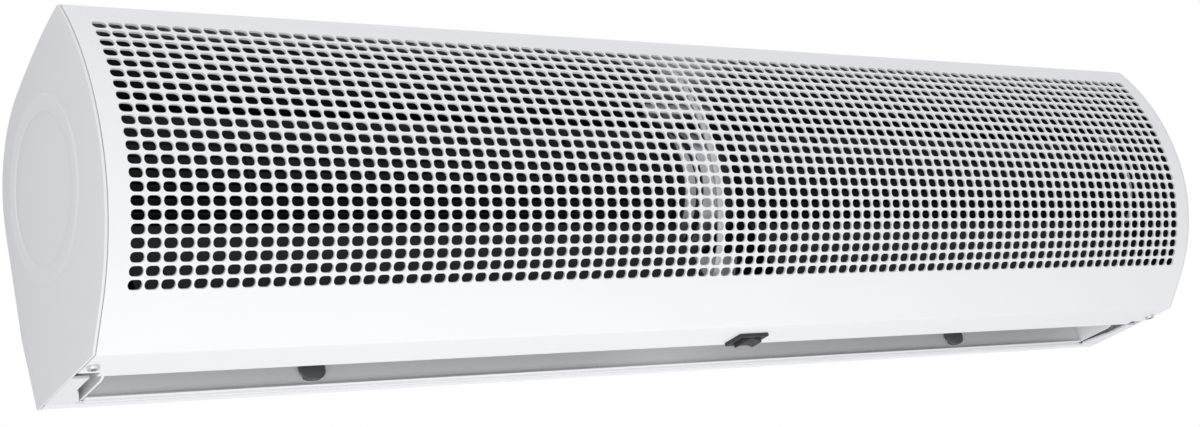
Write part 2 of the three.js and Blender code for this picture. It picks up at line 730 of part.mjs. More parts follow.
// One cross-flow wheel: a ring of blades between two discs, with a ring half way along.
function wheel(side) {
  const near = BAY_HALF + SHEET + WHEEL_END_GAP;
  const far = CHEEK_INNER - WHEEL_END_GAP;
  const middle = (near + far) / 2;
  const bore = SHAFT_RADIUS + GAP;
  const disc = (from, to, hole) => turned([
    [hole, from], [WHEEL_RADIUS, from], [WHEEL_RADIUS, to], [hole, to],
  ], AXIS, 24);
  const hub = (from, to) => turned([
    [bore, from], [HUB_RADIUS, from], [HUB_RADIUS, to], [bore, to],
  ], AXIS, 10);
  const parts = [
    disc(side * near, side * (near + WHEEL_DISC), bore),
    disc(side * far, side * (far - WHEEL_DISC), bore),
    disc(
      side * (middle - WHEEL_DISC / 2), side * (middle + WHEEL_DISC / 2),
      WHEEL_RADIUS - BLADE_DEPTH - BLADE_SHEET,
    ),
    hub(side * near, side * (near + HUB_LENGTH)),
    hub(side * far, side * (far - HUB_LENGTH)),
  ];
  for (let i = 0; i < BLADE_COUNT; i += 1) {
    parts.push(extrudeX(wheelBlade(i), side * (near + WHEEL_DISC / 2), side * (far - WHEEL_DISC / 2)));
  }
  return join(...parts);
}

function shaft(from, to) {
  return extrudeX(circleShape(AXIS, SHAFT_RADIUS, 16), from, to);
}

function bearing(side) {
  const middle = side * (CHEEK_INNER + SHEET / 2);
  const half = BEARING_WIDTH / 2;
  const bore = SHAFT_RADIUS + GAP;
  return turned([
    [bore, middle - half],
    [BEARING_RADIUS, middle - half],
    [BEARING_RADIUS, middle + half],
    [bore, middle + half],
  ], AXIS, 16);
}

// Rubber bush: a grooved ring that grips the edge of the hole in the side plate.
function bearingBush(side) {
  const middle = side * (CHEEK_INNER + SHEET / 2);
  const groove = SHEET / 2 + GAP;
  const outer = groove + BUSH_FLANGE_WIDTH;
  const bore = BEARING_RADIUS + GAP;
  return turned([
    [bore, middle - outer],
    [BUSH_FLANGE, middle - outer],
    [BUSH_FLANGE, middle - groove],
    [BUSH_BODY, middle - groove],
    [BUSH_BODY, middle + groove],
    [BUSH_FLANGE, middle + groove],
    [BUSH_FLANGE, middle + outer],
    [bore, middle + outer],
  ], AXIS, 14);
}

// ---- Electrics ----

function tray() {
  const path = [
    point(TRAY_REAR, TRAY_HEIGHT + TRAY_LIP),
    point(TRAY_REAR, TRAY_HEIGHT),
    point(TRAY_REAR + TRAY_DEPTH, TRAY_HEIGHT),
    point(TRAY_REAR + TRAY_DEPTH, TRAY_HEIGHT + TRAY_LIP),
  ];
  return extrudeX(sheetShape(path.reverse(), SHEET), -BAY_HALF + GAP, BAY_HALF - GAP);
}

function capacitor() {
  const base = TRAY_HEIGHT + SHEET;
  const rear = TRAY_REAR + SHEET + TRAY_ROOM;
  const { width, depth, height, chamfer } = CAPACITOR;
  const shape = new THREE.Shape([
    point(-width / 2, base),
    point(width / 2, base),
    point(width / 2, base + height - chamfer),
    point(width / 2 - chamfer, base + height),
    point(chamfer - width / 2, base + height),
    point(-width / 2, base + height - chamfer),
  ]);
  return extrudeForward(shape, rear, rear + depth);
}

function terminalBlock() {
  const base = TRAY_HEIGHT + SHEET;
  const { width, depth, height, ways, pocket, slot } = TERMINALS;
  const rear = TRAY_REAR + TRAY_DEPTH - SHEET - TRAY_ROOM - depth;
  const body = block(0, rear, base, width, depth, height);
  const pitch = width / ways;
  const setIn = (depth * (1 - slot)) / 2;
  const pockets = [];
  for (let i = 0; i < ways; i += 1) {
    const x = (i - (ways - 1) / 2) * pitch;
    pockets.push(block(x, rear + setIn, base + height * pocket, pitch * pocket, depth * slot, height));
  }
  return cut(body, ...pockets);
}

function cableGrommet() {
  const { height, bore, body, flange, lip, taper } = GROMMET;
  const inner = SHEET + GAP;
  const profile = [
    [bore, -GAP - lip],
    [flange, -GAP - lip],
    [flange, -GAP],
    [body, -GAP],
    [body, inner],
    [flange, inner],
    [flange - taper, inner + 2 * lip],
    [bore, inner + 2 * lip],
  ];
  return revolve(profile, 12).rotateX(Math.PI / 2).translate(GROMMET_X, -BACK, height);
}

// ---- Outlet fittings ----

const VANE_FOOT = point(VANE_PIVOT.x - VANE_LEAN, VANE_FOOT_HEIGHT);

// Rear face of the vane, from its foot up to the pivot.
function vaneCurve() {
  const control = point(VANE_PIVOT.x - VANE_BOW, (VANE_PIVOT.y + VANE_FOOT.y) / 2);
  return new THREE.QuadraticBezierCurve(VANE_FOOT, control, VANE_PIVOT).getPoints(8);
}

function guideVane() {
  const hem = point(VANE_FOOT.x + VANE_HEM.depth, VANE_FOOT.y + VANE_HEM.lift);
  const path = [hem, ...vaneCurve()];
  const end = CHEEK_INNER - 2 * GAP;
  const blade = extrudeX(sheetShape(path, SHEET), -end, end);
  const barrel = extrudeX(circleShape(VANE_PIVOT, VANE_BARREL, 14), -end, end);
  const eye = extrudeX(circleShape(VANE_PIVOT, PIN_RADIUS + GAP, 12), -HALF, HALF);
  return cut(join(barrel, blade), eye);
}

function vanePin(side) {
  const end = CHEEK_OUTER + PIN_HEAD;
  return extrudeX(circleShape(VANE_PIVOT, PIN_RADIUS, 12), side * (end - PIN_LENGTH), side * end);
}

// A finger clip: it lies on the vane's front face and hooks under its lower lip.
function lipClip(side) {
  const x = side * (HALF - CLIP_INSET);
  const under = VANE_FOOT.y - GAP;
  const low = under - CLIP;
  const lip = VANE_FOOT.x + VANE_HEM.depth + GAP;
  const hemTop = VANE_FOOT.y + VANE_HEM.lift + SHEET + GAP;
  const face = offsetPath(vaneCurve(), SHEET + GAP).filter((p) => p.y > hemTop && p.y < CLIP_HEIGHT);
  const top = point(face.at(-1).x, CLIP_HEIGHT);
  const profile = new THREE.Shape([
    point(VANE_FOOT.x, under),
    point(VANE_FOOT.x, low),
    point(lip + CLIP, low),
    point(lip + CLIP, CLIP_HEIGHT - CLIP_SLOPE),
    point(top.x + CLIP / 2, CLIP_HEIGHT),
    top,
    ...face.reverse(),
    point(lip, hemTop),
    point(lip, under),
  ]);
  const reach = CLIP_WIDTH / 2 - CLIP_ROUND;
  const front = new THREE.Shape([
    point(x - CLIP_WIDTH / 2, CLIP_HEIGHT + CUT),
    ...arc(point(x - reach, low + CLIP_ROUND), CLIP_ROUND, 180, 270, 5),
    ...arc(point(x + reach, low + CLIP_ROUND), CLIP_ROUND, 270, 360, 5),
    point(x + CLIP_WIDTH / 2, CLIP_HEIGHT + CUT),
  ]);
  return common(
    extrudeX(profile, x - CLIP_WIDTH / 2, x + CLIP_WIDTH / 2),
    extrudeForward(front, SLOT_REAR, SLOT_FRONT),
  );
}

function switchRear() {
  const room = BAND_FOOT.x - SLOT_FRONT - SHEET;
  return SLOT_FRONT + SHEET + (room - SWITCH.depth) / 2 - SWITCH.setback;
}

function switchBody() {
  const { x, width, depth, bezel, rim, body, wall } = SWITCH;
  const rear = switchRear();
  const flange = block(x, rear - rim, -bezel, width + 2 * rim, depth + 2 * rim, bezel);
  const box = block(x, rear, -bezel / 2, width, depth, body + bezel / 2);
  const well = block(
    x,
    rear + wall,
    -bezel - CUT,
    width - 2 * wall,
    depth - 2 * wall,
    CUT + bezel + ROCKER.height + ROCKER.rise,
  );
  return cut(join(flange, box), well);
}

function switchRocker() {
  const { x, width, depth, bezel, wall } = SWITCH;
  const rear = switchRear();
  const half = width / 2 - wall - ROCKER.room;
  const low = -bezel;
  const high = low + ROCKER.height;
  const shape = new THREE.Shape([
    point(x - half, low - ROCKER.rise),
    point(x, low),
    point(x + half, low - ROCKER.rise),
    point(x + half, high - ROCKER.chamfer),
    point(x, high),
    point(x - half, high - ROCKER.chamfer),
  ]);
  return extrudeForward(shape, rear + wall + GAP, rear + depth - wall - GAP);
}

// ---- Wall plate ----

function wallPlate() {
  const low = PLATE_LEVEL - PLATE_HEIGHT / 2;
  const plate = block(0, 0, low, PLATE_LENGTH, PLATE, PLATE_HEIGHT);
  const hooks = [-1, 1].flatMap((side) => {
    const x = (side * HOOK_SPACING) / 2;
    const lip = INNER_BACK + GAP;
    return [
      block(x, PLATE / 2, PLATE_LEVEL - HOOK, HOOK_WIDTH, lip + HOOK - PLATE / 2, HOOK),
      block(x, lip, PLATE_LEVEL - HOOK, HOOK_WIDTH, HOOK, HOOK + HOOK_LIFT),
    ];
  });
  const holes = [-1, 1].flatMap((side) => [-1, 1].map((level) => {
    const hole = new THREE.CylinderGeometry(PLATE_HOLE, PLATE_HOLE, 3 * PLATE, 10);
    const x = side * (PLATE_LENGTH / 2 - PLATE_HOLE_INSET);
    return hole.translate(x, -PLATE / 2, PLATE_LEVEL + level * (PLATE_HEIGHT / 2 - PLATE_HOLE_INSET / 2));
  }));
  return cut(join(plate, ...hooks), ...holes);
}

// ---- Assembly ----

piece('wall_plate', wallPlate(), GALVANISED);
piece('rear_housing', rearHousing(), WHITE_COAT);
piece('intake_grille', intakeGrille(), WHITE_COAT);
piece('lower_cover', lowerCover(), WHITE_COAT);
piece('cable_grommet', cableGrommet(), RUBBER);

piece('centre_rib', centreRib(), WHITE_COAT);
piece('bay_floor', bayFloor(), GREY_COAT);
piece('motor_can', motorCan(), BLACK_PAINT);
piece('motor_cradle', motorCradle(), GALVANISED);
piece('motor_strap', motorStrap(), GALVANISED);
piece('electrics_tray', tray(), GALVANISED);
piece('capacitor', capacitor(), BLACK_PLASTIC);
piece('terminal_block', terminalBlock(), BLACK_PLASTIC);

const SHAFT_END = BAY_HALF + SHEET + WHEEL_END_GAP + HUB_LENGTH;
const STUB_START = CHEEK_INNER - WHEEL_END_GAP - HUB_LENGTH;
piece('motor_shaft', shaft(-SHAFT_END, SHAFT_END), SHAFT_STEEL);

for (const [name, side] of SIDES) {
  piece(`end_plate_${name}`, endPlate(side), GREY_COAT);
  piece(`outer_cheek_${name}`, outerCheek(side), WHITE_COAT);
  piece(`inner_cheek_${name}`, innerCheek(side), BLACK_PAINT);
  piece(`scroll_${name}`, scroll(side), BLACK_PAINT);
  piece(`tongue_${name}`, tongue(side), BLACK_PAINT);
  piece(`motor_bell_${name}`, motorBell(side), BLACK_PAINT);
  piece(`wheel_${name}`, wheel(side), WHEEL_COAT);
  piece(`stub_shaft_${name}`, shaft(side * STUB_START, side * (CHEEK_OUTER + BEARING_WIDTH)), SHAFT_STEEL);
  piece(`bearing_${name}`, bearing(side), SHAFT_STEEL);
  piece(`bearing_bush_${name}`, bearingBush(side), RUBBER);
  piece(`vane_pin_${name}`, vanePin(side), SHAFT_STEEL);
  piece(`lip_clip_${name}`, lipClip(side), CLIP_PLASTIC);
}

piece('guide_vane', guideVane(), GREY_COAT);
piece('switch_body', switchBody(), BLACK_PLASTIC);
piece('switch_rocker', switchRocker(), BLACK_PLASTIC);

coverScrewPlaces().forEach(({ x, forward, up }, i) => {
  piece(`cover_screw_${SIDES[i][0]}`, screw(x, forward, up, 1), SCREW_STEEL);
});
topScrewPlaces().forEach(({ x, forward, up }, i) => {
  piece(`top_screw_${SIDES[i][0]}`, screw(x, forward, up, -1), SCREW_STEEL);
});

export default unit;
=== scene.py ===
"""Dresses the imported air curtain: every sheet, wheel and fitting in its finished form and coat.

Section points are (forward, up): forward is the distance from the wall and up is the height above
the underside, both in metres. Angles in a section turn from forward towards up.
"""

import json
import math

import bmesh
import bpy
from bpy.props import FloatProperty, FloatVectorProperty, IntProperty, PointerProperty
from bpy.types import Operator, Panel, PropertyGroup
from mathutils import Matrix, Vector


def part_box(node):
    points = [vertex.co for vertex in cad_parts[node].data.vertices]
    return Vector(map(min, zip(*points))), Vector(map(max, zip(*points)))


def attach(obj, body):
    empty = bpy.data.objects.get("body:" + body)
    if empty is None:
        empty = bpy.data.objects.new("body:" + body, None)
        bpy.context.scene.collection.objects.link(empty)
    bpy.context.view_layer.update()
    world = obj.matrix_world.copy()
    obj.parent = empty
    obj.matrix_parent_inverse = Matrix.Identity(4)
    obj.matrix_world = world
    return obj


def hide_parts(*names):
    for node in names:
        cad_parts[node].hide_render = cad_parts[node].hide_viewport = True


bl_info = {
    "name": "Air curtain",
    "version": (1, 0, 0),
    "blender": (4, 5, 0),
    "location": "View3D > Sidebar > Air curtain",
    "description": "Builds the dressed pieces of an air curtain round its packed frame",
    "category": "Object",
}

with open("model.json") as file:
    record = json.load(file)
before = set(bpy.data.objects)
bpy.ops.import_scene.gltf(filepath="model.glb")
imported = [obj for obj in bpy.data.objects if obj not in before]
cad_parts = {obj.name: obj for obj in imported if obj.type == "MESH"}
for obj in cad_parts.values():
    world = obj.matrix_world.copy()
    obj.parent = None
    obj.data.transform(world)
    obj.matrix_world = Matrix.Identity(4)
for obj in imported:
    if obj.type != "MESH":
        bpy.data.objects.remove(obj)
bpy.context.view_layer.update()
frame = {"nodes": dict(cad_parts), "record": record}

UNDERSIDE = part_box("lower_cover")[0].z
HOUSING_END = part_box("rear_housing")[1].x
END_PLATE_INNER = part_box("outer_cheek_right")[1].x
CASING_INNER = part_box("scroll_right")[0].x
CASING_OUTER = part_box("scroll_right")[1].x
VANE_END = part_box("guide_vane")[1].x
LEFT_AND_RIGHT = (("left", -1), ("right", 1))

# Small measures that many pieces share, in metres.
SHEET_EASE = 0.0003  # rounding of a thin sheet's edges
EASE = 0.0004  # rounding of a pressed or moulded piece's edges
PLAY = 0.0003  # room round a shaft or a pin
CORE = 0.0001  # radius at which the ends of a solid bar close
CUT = 0.02  # length of the bodies that cut holes, more than any wall
TOUCH = 1e-5  # how near a place counts as the same
NEAR = 1e-4  # how near, along the rims of the perforated field
CORNER_TRIM = 8  # turn taken off the front's sharp corner, per metre of inset


# ---- Sizes and colours ----

def length(name, default, description):
    return FloatProperty(
        name=name, description=description, default=default, unit="LENGTH", precision=5
    )


def angle(name, degrees, description):
    return FloatProperty(
        name=name, description=description, default=math.radians(degrees), subtype="ANGLE"
    )


def colour(name, default, description):
    return FloatVectorProperty(
        name=name, description=description, default=default, subtype="COLOR", size=3, min=0, max=1
    )


class HousingSizes(PropertyGroup):
    """Sizes of the housing's section."""

    half_length: length("Half length", 0.450, "Middle to the outer face of an end plate")
    height: length("Height", 0.196, "Underside to the sharp edge at the top of the front")
    sheet: length("Sheet", 0.0015, "Thickness of the bent sheets")
    end_plate: length("End plate", 0.002, "Thickness of an end plate")
    gap: length("Gap", 0.0003, "Clearance between pieces that touch")
    reach: length("Reach", 0.1545, "Wall to the furthest point of the front")
    belly: length("Belly height", 0.108, "Height of the furthest point")
    upper_radius: length("Upper radius", 0.166, "Front curve above the belly")
    lower_radius: length("Lower radius", 0.127, "Front curve below the belly")
    lower_sweep: angle("Lower sweep", 44, "Turn of the lower curve before it runs straight")
    bend: length("Bend radius", 0.002, "Outer radius of a folded edge")
    back: length("Back", 0.0023, "Wall to the housing's back")
    foot: length("Foot", 0.0093, "Wall to the housing's rear foot")
    foot_height: length("Foot height", 0.045, "Height at which the back turns straight")
    shoulder_height: length("Shoulder height", 0.112, "Height of the shoulder's centre")
    shoulder_radius: length("Shoulder radius", 0.070, "Radius of the rounded shoulder")
    shoulder_end: angle("Shoulder end", 108, "Angle where the shoulder meets the top")
    top_slope: angle("Top slope", 5, "Slope of the top at its front edge")
    slot_rear: length("Slot rear", 0.018, "Rear edge of the outlet slot")
    slot_front: length("Slot front", 0.063, "Front edge of the outlet slot")
    hem: length("Hem", 0.010, "Upright edge of the slot's front lip")
    lip: length("Rear lip", 0.004, "Upturned lip along the slot's rear edge")
    # The dark sheets inside the ends are painted shade; this is their thickness.
    shade_sheet: length("Shade sheet", 0.0004, "Dark lining inside the ends")
    relief_length: length("Relief length", 0.013, "Lip's corner, cut away beside an end plate")
    relief_depth: length("Relief depth", 0.008, "How far the cut corner runs into the flange")
    tab: length("Tab", 0.010, "Inward tabs of an end plate")
    ear: length("Ear", 0.0099, "Rounded ear on the tab of the slot's end")
    ear_front: length("Ear front", 0.042, "Wall to the front end of the ear")
    fold: length("Fold", 0.008, "Inward flange behind the seams of the front")
    ring_outer: length("Ring outer radius", 0.0536, "Stamped ring of an end plate")
    ring_inner: length("Ring inner radius", 0.044, "Stamped ring of an end plate")
    ring_height: length("Ring height", 0.0008, "How far the ring stands out")


class PerforationSizes(PropertyGroup):
    """Sizes of the perforated field."""

    rows: IntProperty(name="Rows", description="Rows of holes", default=22, min=1)
    columns: IntProperty(name="Columns", description="Columns of holes", default=92, min=1)
    row_pitch: length("Row pitch", 0.00758, "Distance between rows, along the curve")
    column_pitch: length("Column pitch", 0.00948, "Distance between columns")
    hole_width: length("Hole width", 0.0084, "Width of a hole")
    hole_height: length("Hole height", 0.0059, "Height of a hole")
    hole_round: length("Hole corner", 0.0026, "Corner radius of a hole")
    centre: length("Field centre", -0.0057, "Middle of the field from the belly, up is positive")


class CasingSizes(PropertyGroup):
    """Sizes of the wheels, the motor and the casing round them."""

    axis_forward: length("Axis forward", 0.0688, "Wall to the shaft's axis")
    axis_up: length("Axis height", 0.111, "Underside to the shaft's axis")
    wheel_radius: length("Wheel radius", 0.046, "Outer radius of a wheel")
    blade_depth: length("Blade depth", 0.0105, "Radial depth of a blade")
    blade_sheet: length("Blade sheet", 0.0006, "Thickness of a blade")
    blades: IntProperty(name="Blades", description="Blades of a wheel", default=36, min=3)
    rings: IntProperty(name="Rings", description="Stiffening rings of a wheel", default=4, min=1)
    disc: length("Disc", 0.002, "Thickness of a wheel's end disc")
    band_start: length("Band start", -0.0285, "Left edge of the motor's clamp, from the middle")
    band_end: length("Band end", -0.0145, "Right edge of the motor's clamp, from the middle")
    rib_width: length("Rib width", 0.004, "Width of the strip behind the front")
    hub_radius: length("Hub radius", 0.010, "Outer radius of a wheel's hub")
    hub_length: length("Hub length", 0.012, "Length of a wheel's hub")
    shaft_radius: length("Shaft radius", 0.004, "Radius of the shafts")
    scroll_radius: length("Scroll radius", 0.050, "Scroll's radius at its start")
    scroll_growth: length("Scroll growth", 0.008, "How far the scroll opens round the back")
    scroll_start: angle("Scroll start", 80, "Where the scroll starts, round the axis")
    scroll_knee: length("Scroll knee", 0.060, "Height where the scroll turns to the slot")
    tongue_angle: angle("Tongue angle", -50, "Where the tongue comes nearest the wheel")
    cheek_round: length("Cheek corner", 0.013, "Rounded corner of a side plate in the slot")
    motor_radius: length("Motor radius", 0.043, "Radius of the motor's can")
    seam_top: length("Top seam", 0.07968, "Upper seam of the front sheets, from the belly")
    seam_bottom: length("Bottom seam", -0.09108, "Lower seam of the front sheets, from the belly")


class VaneSizes(PropertyGroup):
    """Sizes of the guide vane."""

    pivot_forward: length("Pivot forward", 0.023, "Wall to the pivot")
    pivot_up: length("Pivot height", 0.046, "Underside to the pivot")
    lean: length("Lean", 0.003, "Foot behind the pivot")
    foot: length("Foot height", 0.0012, "Underside to the vane's foot")
    bow: length("Bow", 0.005, "How far back the blade bows")
    hem: length("Hem", 0.0025, "Depth of the lip along the foot")
    hem_rise: length("Hem rise", 0.0005, "Rise of the lip")
    eye: length("Eye", 0.0042, "Outer radius of the rolled eye")
    pin: length("Pin", 0.0024, "Radius of a pivot pin")
    clip_rise: length("Clip rise", 0.0045, "How far a clip's tip stays above the vane's foot")


class PlateSizes(PropertyGroup):
    """Sizes of the wall plate."""

    level: length("Level", 0.084, "Underside to the plate's middle")
    corner: length("Corner", 0.004, "Corner radius of the plate")
    hole: length("Hole", 0.003, "Radius of a screw hole")
    hole_inset: length("Hole inset", 0.025, "Plate's end to a hole")
    hole_rise: length("Hole rise", 0.0135, "Plate's middle line to a hole")
    hook_place: length("Hook place", 0.250, "Middle to a hook")
    hook_width: length("Hook width", 0.020, "Width of a hook")
    hook_lift: length("Hook lift", 0.008, "Height of a hook's upright lip")
    hook_room: length("Hook room", 0.004, "Room under a hook, to hang the unit on it")


class Colours(PropertyGroup):
    """Base colours of the coats, metals and plastics."""

    white: colour("White coat", (0.88, 0.885, 0.895), "Powder coat of the housing")
    grey: colour("Grey coat", (0.80, 0.805, 0.812), "Powder coat of the end plates and the vane")
    zinc: colour("Zinc", (0.60, 0.62, 0.64), "Zinc coated sheet")
    # The wheels' near black is painted shade: it darkens the view through the holes into the
    # housing.
    wheel: colour("Wheel", (0.014, 0.014, 0.015), "Black coat of the wheels")
    # On the motor this is its own paint; on the scrolls, tongues and inner cheeks this near black
    # is painted shade.
    motor: colour("Motor", (0.018, 0.0185, 0.02), "Stoved paint of the motor and its casing")
    steel: colour("Steel", (0.68, 0.69, 0.70), "Turned and plated steel")
    black: colour("Black plastic", (0.022, 0.022, 0.024), "Moulded black plastic")
    clip: colour("Clip plastic", (0.10, 0.105, 0.115), "Moulded dark grey plastic")
    # Also on the dark sheets inside the ends, where this near black is painted shade.
    rubber: colour("Rubber", (0.018, 0.018, 0.018), "Black rubber")
    floor: colour("Floor", (0.86, 0.86, 0.86), "Studio floor")


class AirCurtain(PropertyGroup):
    """All settings of the air curtain."""

    housing: PointerProperty(type=HousingSizes)
    holes: PointerProperty(type=PerforationSizes)
    casing: PointerProperty(type=CasingSizes)
    vane: PointerProperty(type=VaneSizes)
    plate: PointerProperty(type=PlateSizes)
    colours: PointerProperty(type=Colours)


def settings():
    return bpy.context.scene.air_curtain


# ---- Finishes ----

class Channel:
    """A shader socket in a Python expression. Each operator adds its Math node."""

    def __init__(self, finish, socket):
        self.finish = finish
        self.socket = socket

    def math(self, operation, a, b):
        node = self.finish.node("ShaderNodeMath", {"operation": operation}, {0: a, 1: b})
        return node.out("Value")

    def __add__(self, other):
        return self.math("ADD", self, other)

    def __sub__(self, other):
        return self.math("SUBTRACT", self, other)

    def __rsub__(self, other):
        return self.math("SUBTRACT", other, self)

    def __mul__(self, other):
        return self.math("MULTIPLY", self, other)

    def __pow__(self, other):
        return self.math("POWER", self, other)

    __radd__ = __add__
    __rmul__ = __mul__


class Node:
    """A shader node whose outputs are channels."""

    def __init__(self, finish, node):
        self.finish = finish
        self.shader_node = node

    def out(self, name=0):
        return Channel(self.finish, self.shader_node.outputs[name])


class Finish:
    """A node material that is built with one method for its nodes."""

    def __init__(self, name, colour_value=(0.8, 0.8, 0.8), roughness=0.5, metallic=0.0):
        self.material = bpy.data.materials.new(name)
        self.material.use_nodes = True
        self.tree = self.material.node_tree
        self.surface = self.tree.nodes["Principled BSDF"]
        self.surface.inputs["Base Color"].default_value = (*colour_value, 1)
        self.surface.inputs["Roughness"].default_value = roughness
        self.surface.inputs["Metallic"].default_value = metallic
        self.material.diffuse_color = (*colour_value, 1)
        self.place = self.node("ShaderNodeTexCoord").out("Object")

    def node(self, kind, set_first=None, sockets=None):
        """Adds a node: its settings first, then the values or links of its sockets."""
        made = self.tree.nodes.new(kind)
        for key, value in (set_first or {}).items():
            setattr(made, key, value)
        for key, value in (sockets or {}).items():
            self.feed(made.inputs[key], value)
        return Node(self, made)

    def feed(self, socket, value):
        if isinstance(value, Channel):
            self.tree.links.new(value.socket, socket)
        else:
            socket.default_value = value

    def stretched(self, scale):
        mapping = {"Vector": self.place, "Scale": scale}
        return self.node("ShaderNodeMapping", sockets=mapping).out("Vector")

    def noise(self, scale, detail=3.0, place=None):
        sockets = {"Vector": place or self.place, "Scale": scale, "Detail": detail}
        return self.node("ShaderNodeTexNoise", sockets=sockets).out("Fac")

    def cells(self, scale):
        sockets = {"Vector": self.place, "Scale": scale}
        return self.node("ShaderNodeTexVoronoi", sockets=sockets).out("Color")

    def mix(self, factor, first, second):
        """Mixes two colours. The node has its colour sockets among others of the same name."""
        mixer = self.node("ShaderNodeMix", {"data_type": "RGBA"}, {"Factor": factor}).shader_node
        ends = [socket for socket in mixer.inputs if socket.type == "RGBA"]
        for socket, value in zip(ends, (first, second)):
            socket.default_value = (*value, 1)
        return Channel(self, next(s for s in mixer.outputs if s.type == "RGBA"))

    def relief(self, height, strength, distance):
        sockets = {"Height": height, "Strength": strength, "Distance": distance}
        bump = self.node("ShaderNodeBump", sockets=sockets).out("Normal")
        self.feed(self.surface.inputs["Normal"], bump)

    def varied(self, factor, colour_value, spread):
        """Feeds the base colour, a little darker and lighter than its value."""
        dark = [channel * (1 - spread) for channel in colour_value]
        light = [min(channel * (1 + spread), 1) for channel in colour_value]
        self.feed(self.surface.inputs["Base Color"], self.mix(factor, dark, light))


def powder_coat(name, colour_value, roughness):
    """Sprayed and baked coat: fine orange peel, and a sheen that changes a little."""
    finish = Finish(name, colour_value, roughness)
    finish.surface.inputs["Coat Weight"].default_value = 0.12
    finish.surface.inputs["Coat Roughness"].default_value = 0.25
    cloud = finish.noise(14.0, 4.0)
    finish.varied(cloud, colour_value, 0.012)
    finish.feed(finish.surface.inputs["Roughness"], cloud * 0.08 + (roughness - 0.04))
    peel = finish.noise(820.0, 2.0) + finish.noise(2600.0, 1.0) * 0.35
    finish.relief(peel, 0.12, 0.00012)
    return finish.material


def zinc_sheet(name, colour_value):
    """Hot dipped sheet with its spangle and faint rolling marks."""
    finish = Finish(name, colour_value, 0.4, 1.0)
    spangle = finish.node(
        "ShaderNodeSeparateColor", sockets={"Color": finish.cells(150.0)}
    ).out("Red")
    rolled = finish.noise(260.0, 3.0, finish.stretched((0.04, 1.0, 1.0)))
    finish.varied(spangle * 0.6 + rolled * 0.4, colour_value, 0.14)
    finish.feed(finish.surface.inputs["Roughness"], spangle * 0.14 + rolled * 0.08 + 0.27)
    finish.relief(rolled, 0.08, 0.0001)
    return finish.material


def turned_steel(name, colour_value, roughness):
    """Bright steel with fine marks of the lathe."""
    finish = Finish(name, colour_value, roughness, 1.0)
    marks = finish.noise(900.0, 2.0, finish.stretched((1.0, 0.05, 0.05)))
    smudge = finish.noise(45.0)
    finish.varied(smudge, colour_value, 0.06)
    finish.feed(
        finish.surface.inputs["Roughness"], marks * 0.1 + smudge * 0.1 + (roughness - 0.1)
    )
    finish.relief(marks, 0.1, 0.00005)
    return finish.material


def stoved_paint(name, colour_value, roughness):
    """Dark paint over cast or pressed metal, a little uneven, with lighter dust in random patches.
    """
    # The dark colour is the motor's own paint, and painted shade on the wheels, scrolls, tongues
    # and inner cheeks.
    finish = Finish(name, colour_value, roughness)
    finish.surface.inputs["Specular IOR Level"].default_value = 0.2
    patch = finish.noise(60.0, 5.0)
    dust = [1.4 * channel + 0.006 for channel in colour_value]
    finish.feed(
        finish.surface.inputs["Base Color"], finish.mix(patch ** 2.0, colour_value, dust)
    )
    finish.feed(finish.surface.inputs["Roughness"], patch * 0.2 + (roughness - 0.1))
    finish.relief(finish.noise(700.0, 4.0), 0.2, 0.00015)
    return finish.material


def moulded_plastic(name, colour_value, roughness):
    """Moulded plastic with a spark-eroded grain."""
    finish = Finish(name, colour_value, roughness)
    grain = finish.noise(1900.0, 3.0)
    rubbed = finish.noise(90.0)
    finish.varied(rubbed, colour_value, 0.12)
    finish.feed(finish.surface.inputs["Roughness"], rubbed * 0.16 + (roughness - 0.08))
    finish.relief(grain, 0.25, 0.00008)
    return finish.material


def make_finishes():
    """Makes every material of the object, named by the record's slots."""
    tone = settings().colours
    return {
        "white_coat": powder_coat("white_coat_finish", tone.white, 0.42),
        "grey_coat": powder_coat("grey_coat_finish", tone.grey, 0.46),
        "galvanised_sheet": zinc_sheet("zinc_finish", tone.zinc),
        # The wheels' near black is painted shade inside the housing.
        "wheel_aluminium": stoved_paint("wheel_painted_shade", tone.wheel, 0.5),
        # motor_black is the motor's own paint, and painted shade on the scrolls, tongues and inner
        # cheeks.
        "motor_black": stoved_paint("motor_paint_and_casing_shade", tone.motor, 0.48),
        "bright_steel": turned_steel("steel_finish", tone.steel, 0.3),
        "black_plastic": moulded_plastic("black_plastic_finish", tone.black, 0.5),
        "clip_plastic": moulded_plastic("clip_plastic_finish", tone.clip, 0.55),
        # Real rubber on the bushes and grommet; painted shade on the dark sheets inside the ends.
        "rubber": moulded_plastic("rubber_and_painted_shade", tone.rubber, 0.85),
    }


FINISHES = {}


def coat(obj, slot):
    """Gives a piece the one material of a record slot."""
    if not FINISHES:
        FINISHES.update(make_finishes())
    obj.data.materials.clear()
    obj.data.materials.append(FINISHES[slot])


# ---- Modelling ----

def at(forward, up, x=0.0):
    """The place of a section point."""
    return Vector((x, -forward, up + UNDERSIDE))


def polar(centre, radius, turn):
    return centre[0] + radius * math.cos(turn), centre[1] + radius * math.sin(turn)


def curved(start, control, end, t):
    """A point of the curve that leaves its start, and reaches its end, towards the control."""
    return start * (1 - t) ** 2 + control * (2 * t * (1 - t)) + end * t ** 2


def deselect():
    if bpy.context.object and bpy.context.object.mode != "OBJECT":
        bpy.ops.object.mode_set(mode="OBJECT")
    bpy.ops.object.select_all(action="DESELECT")


def alone(obj):
    """Makes one object the only selected one, and the active one."""
    deselect()
    obj.select_set(True)
    bpy.context.view_layer.objects.active = obj


def edit(obj):
    """Opens one object in edit mode."""
    alone(obj)
    bpy.ops.object.mode_set(mode="EDIT")


def done():
    bpy.ops.object.mode_set(mode="OBJECT")
    return bpy.context.object


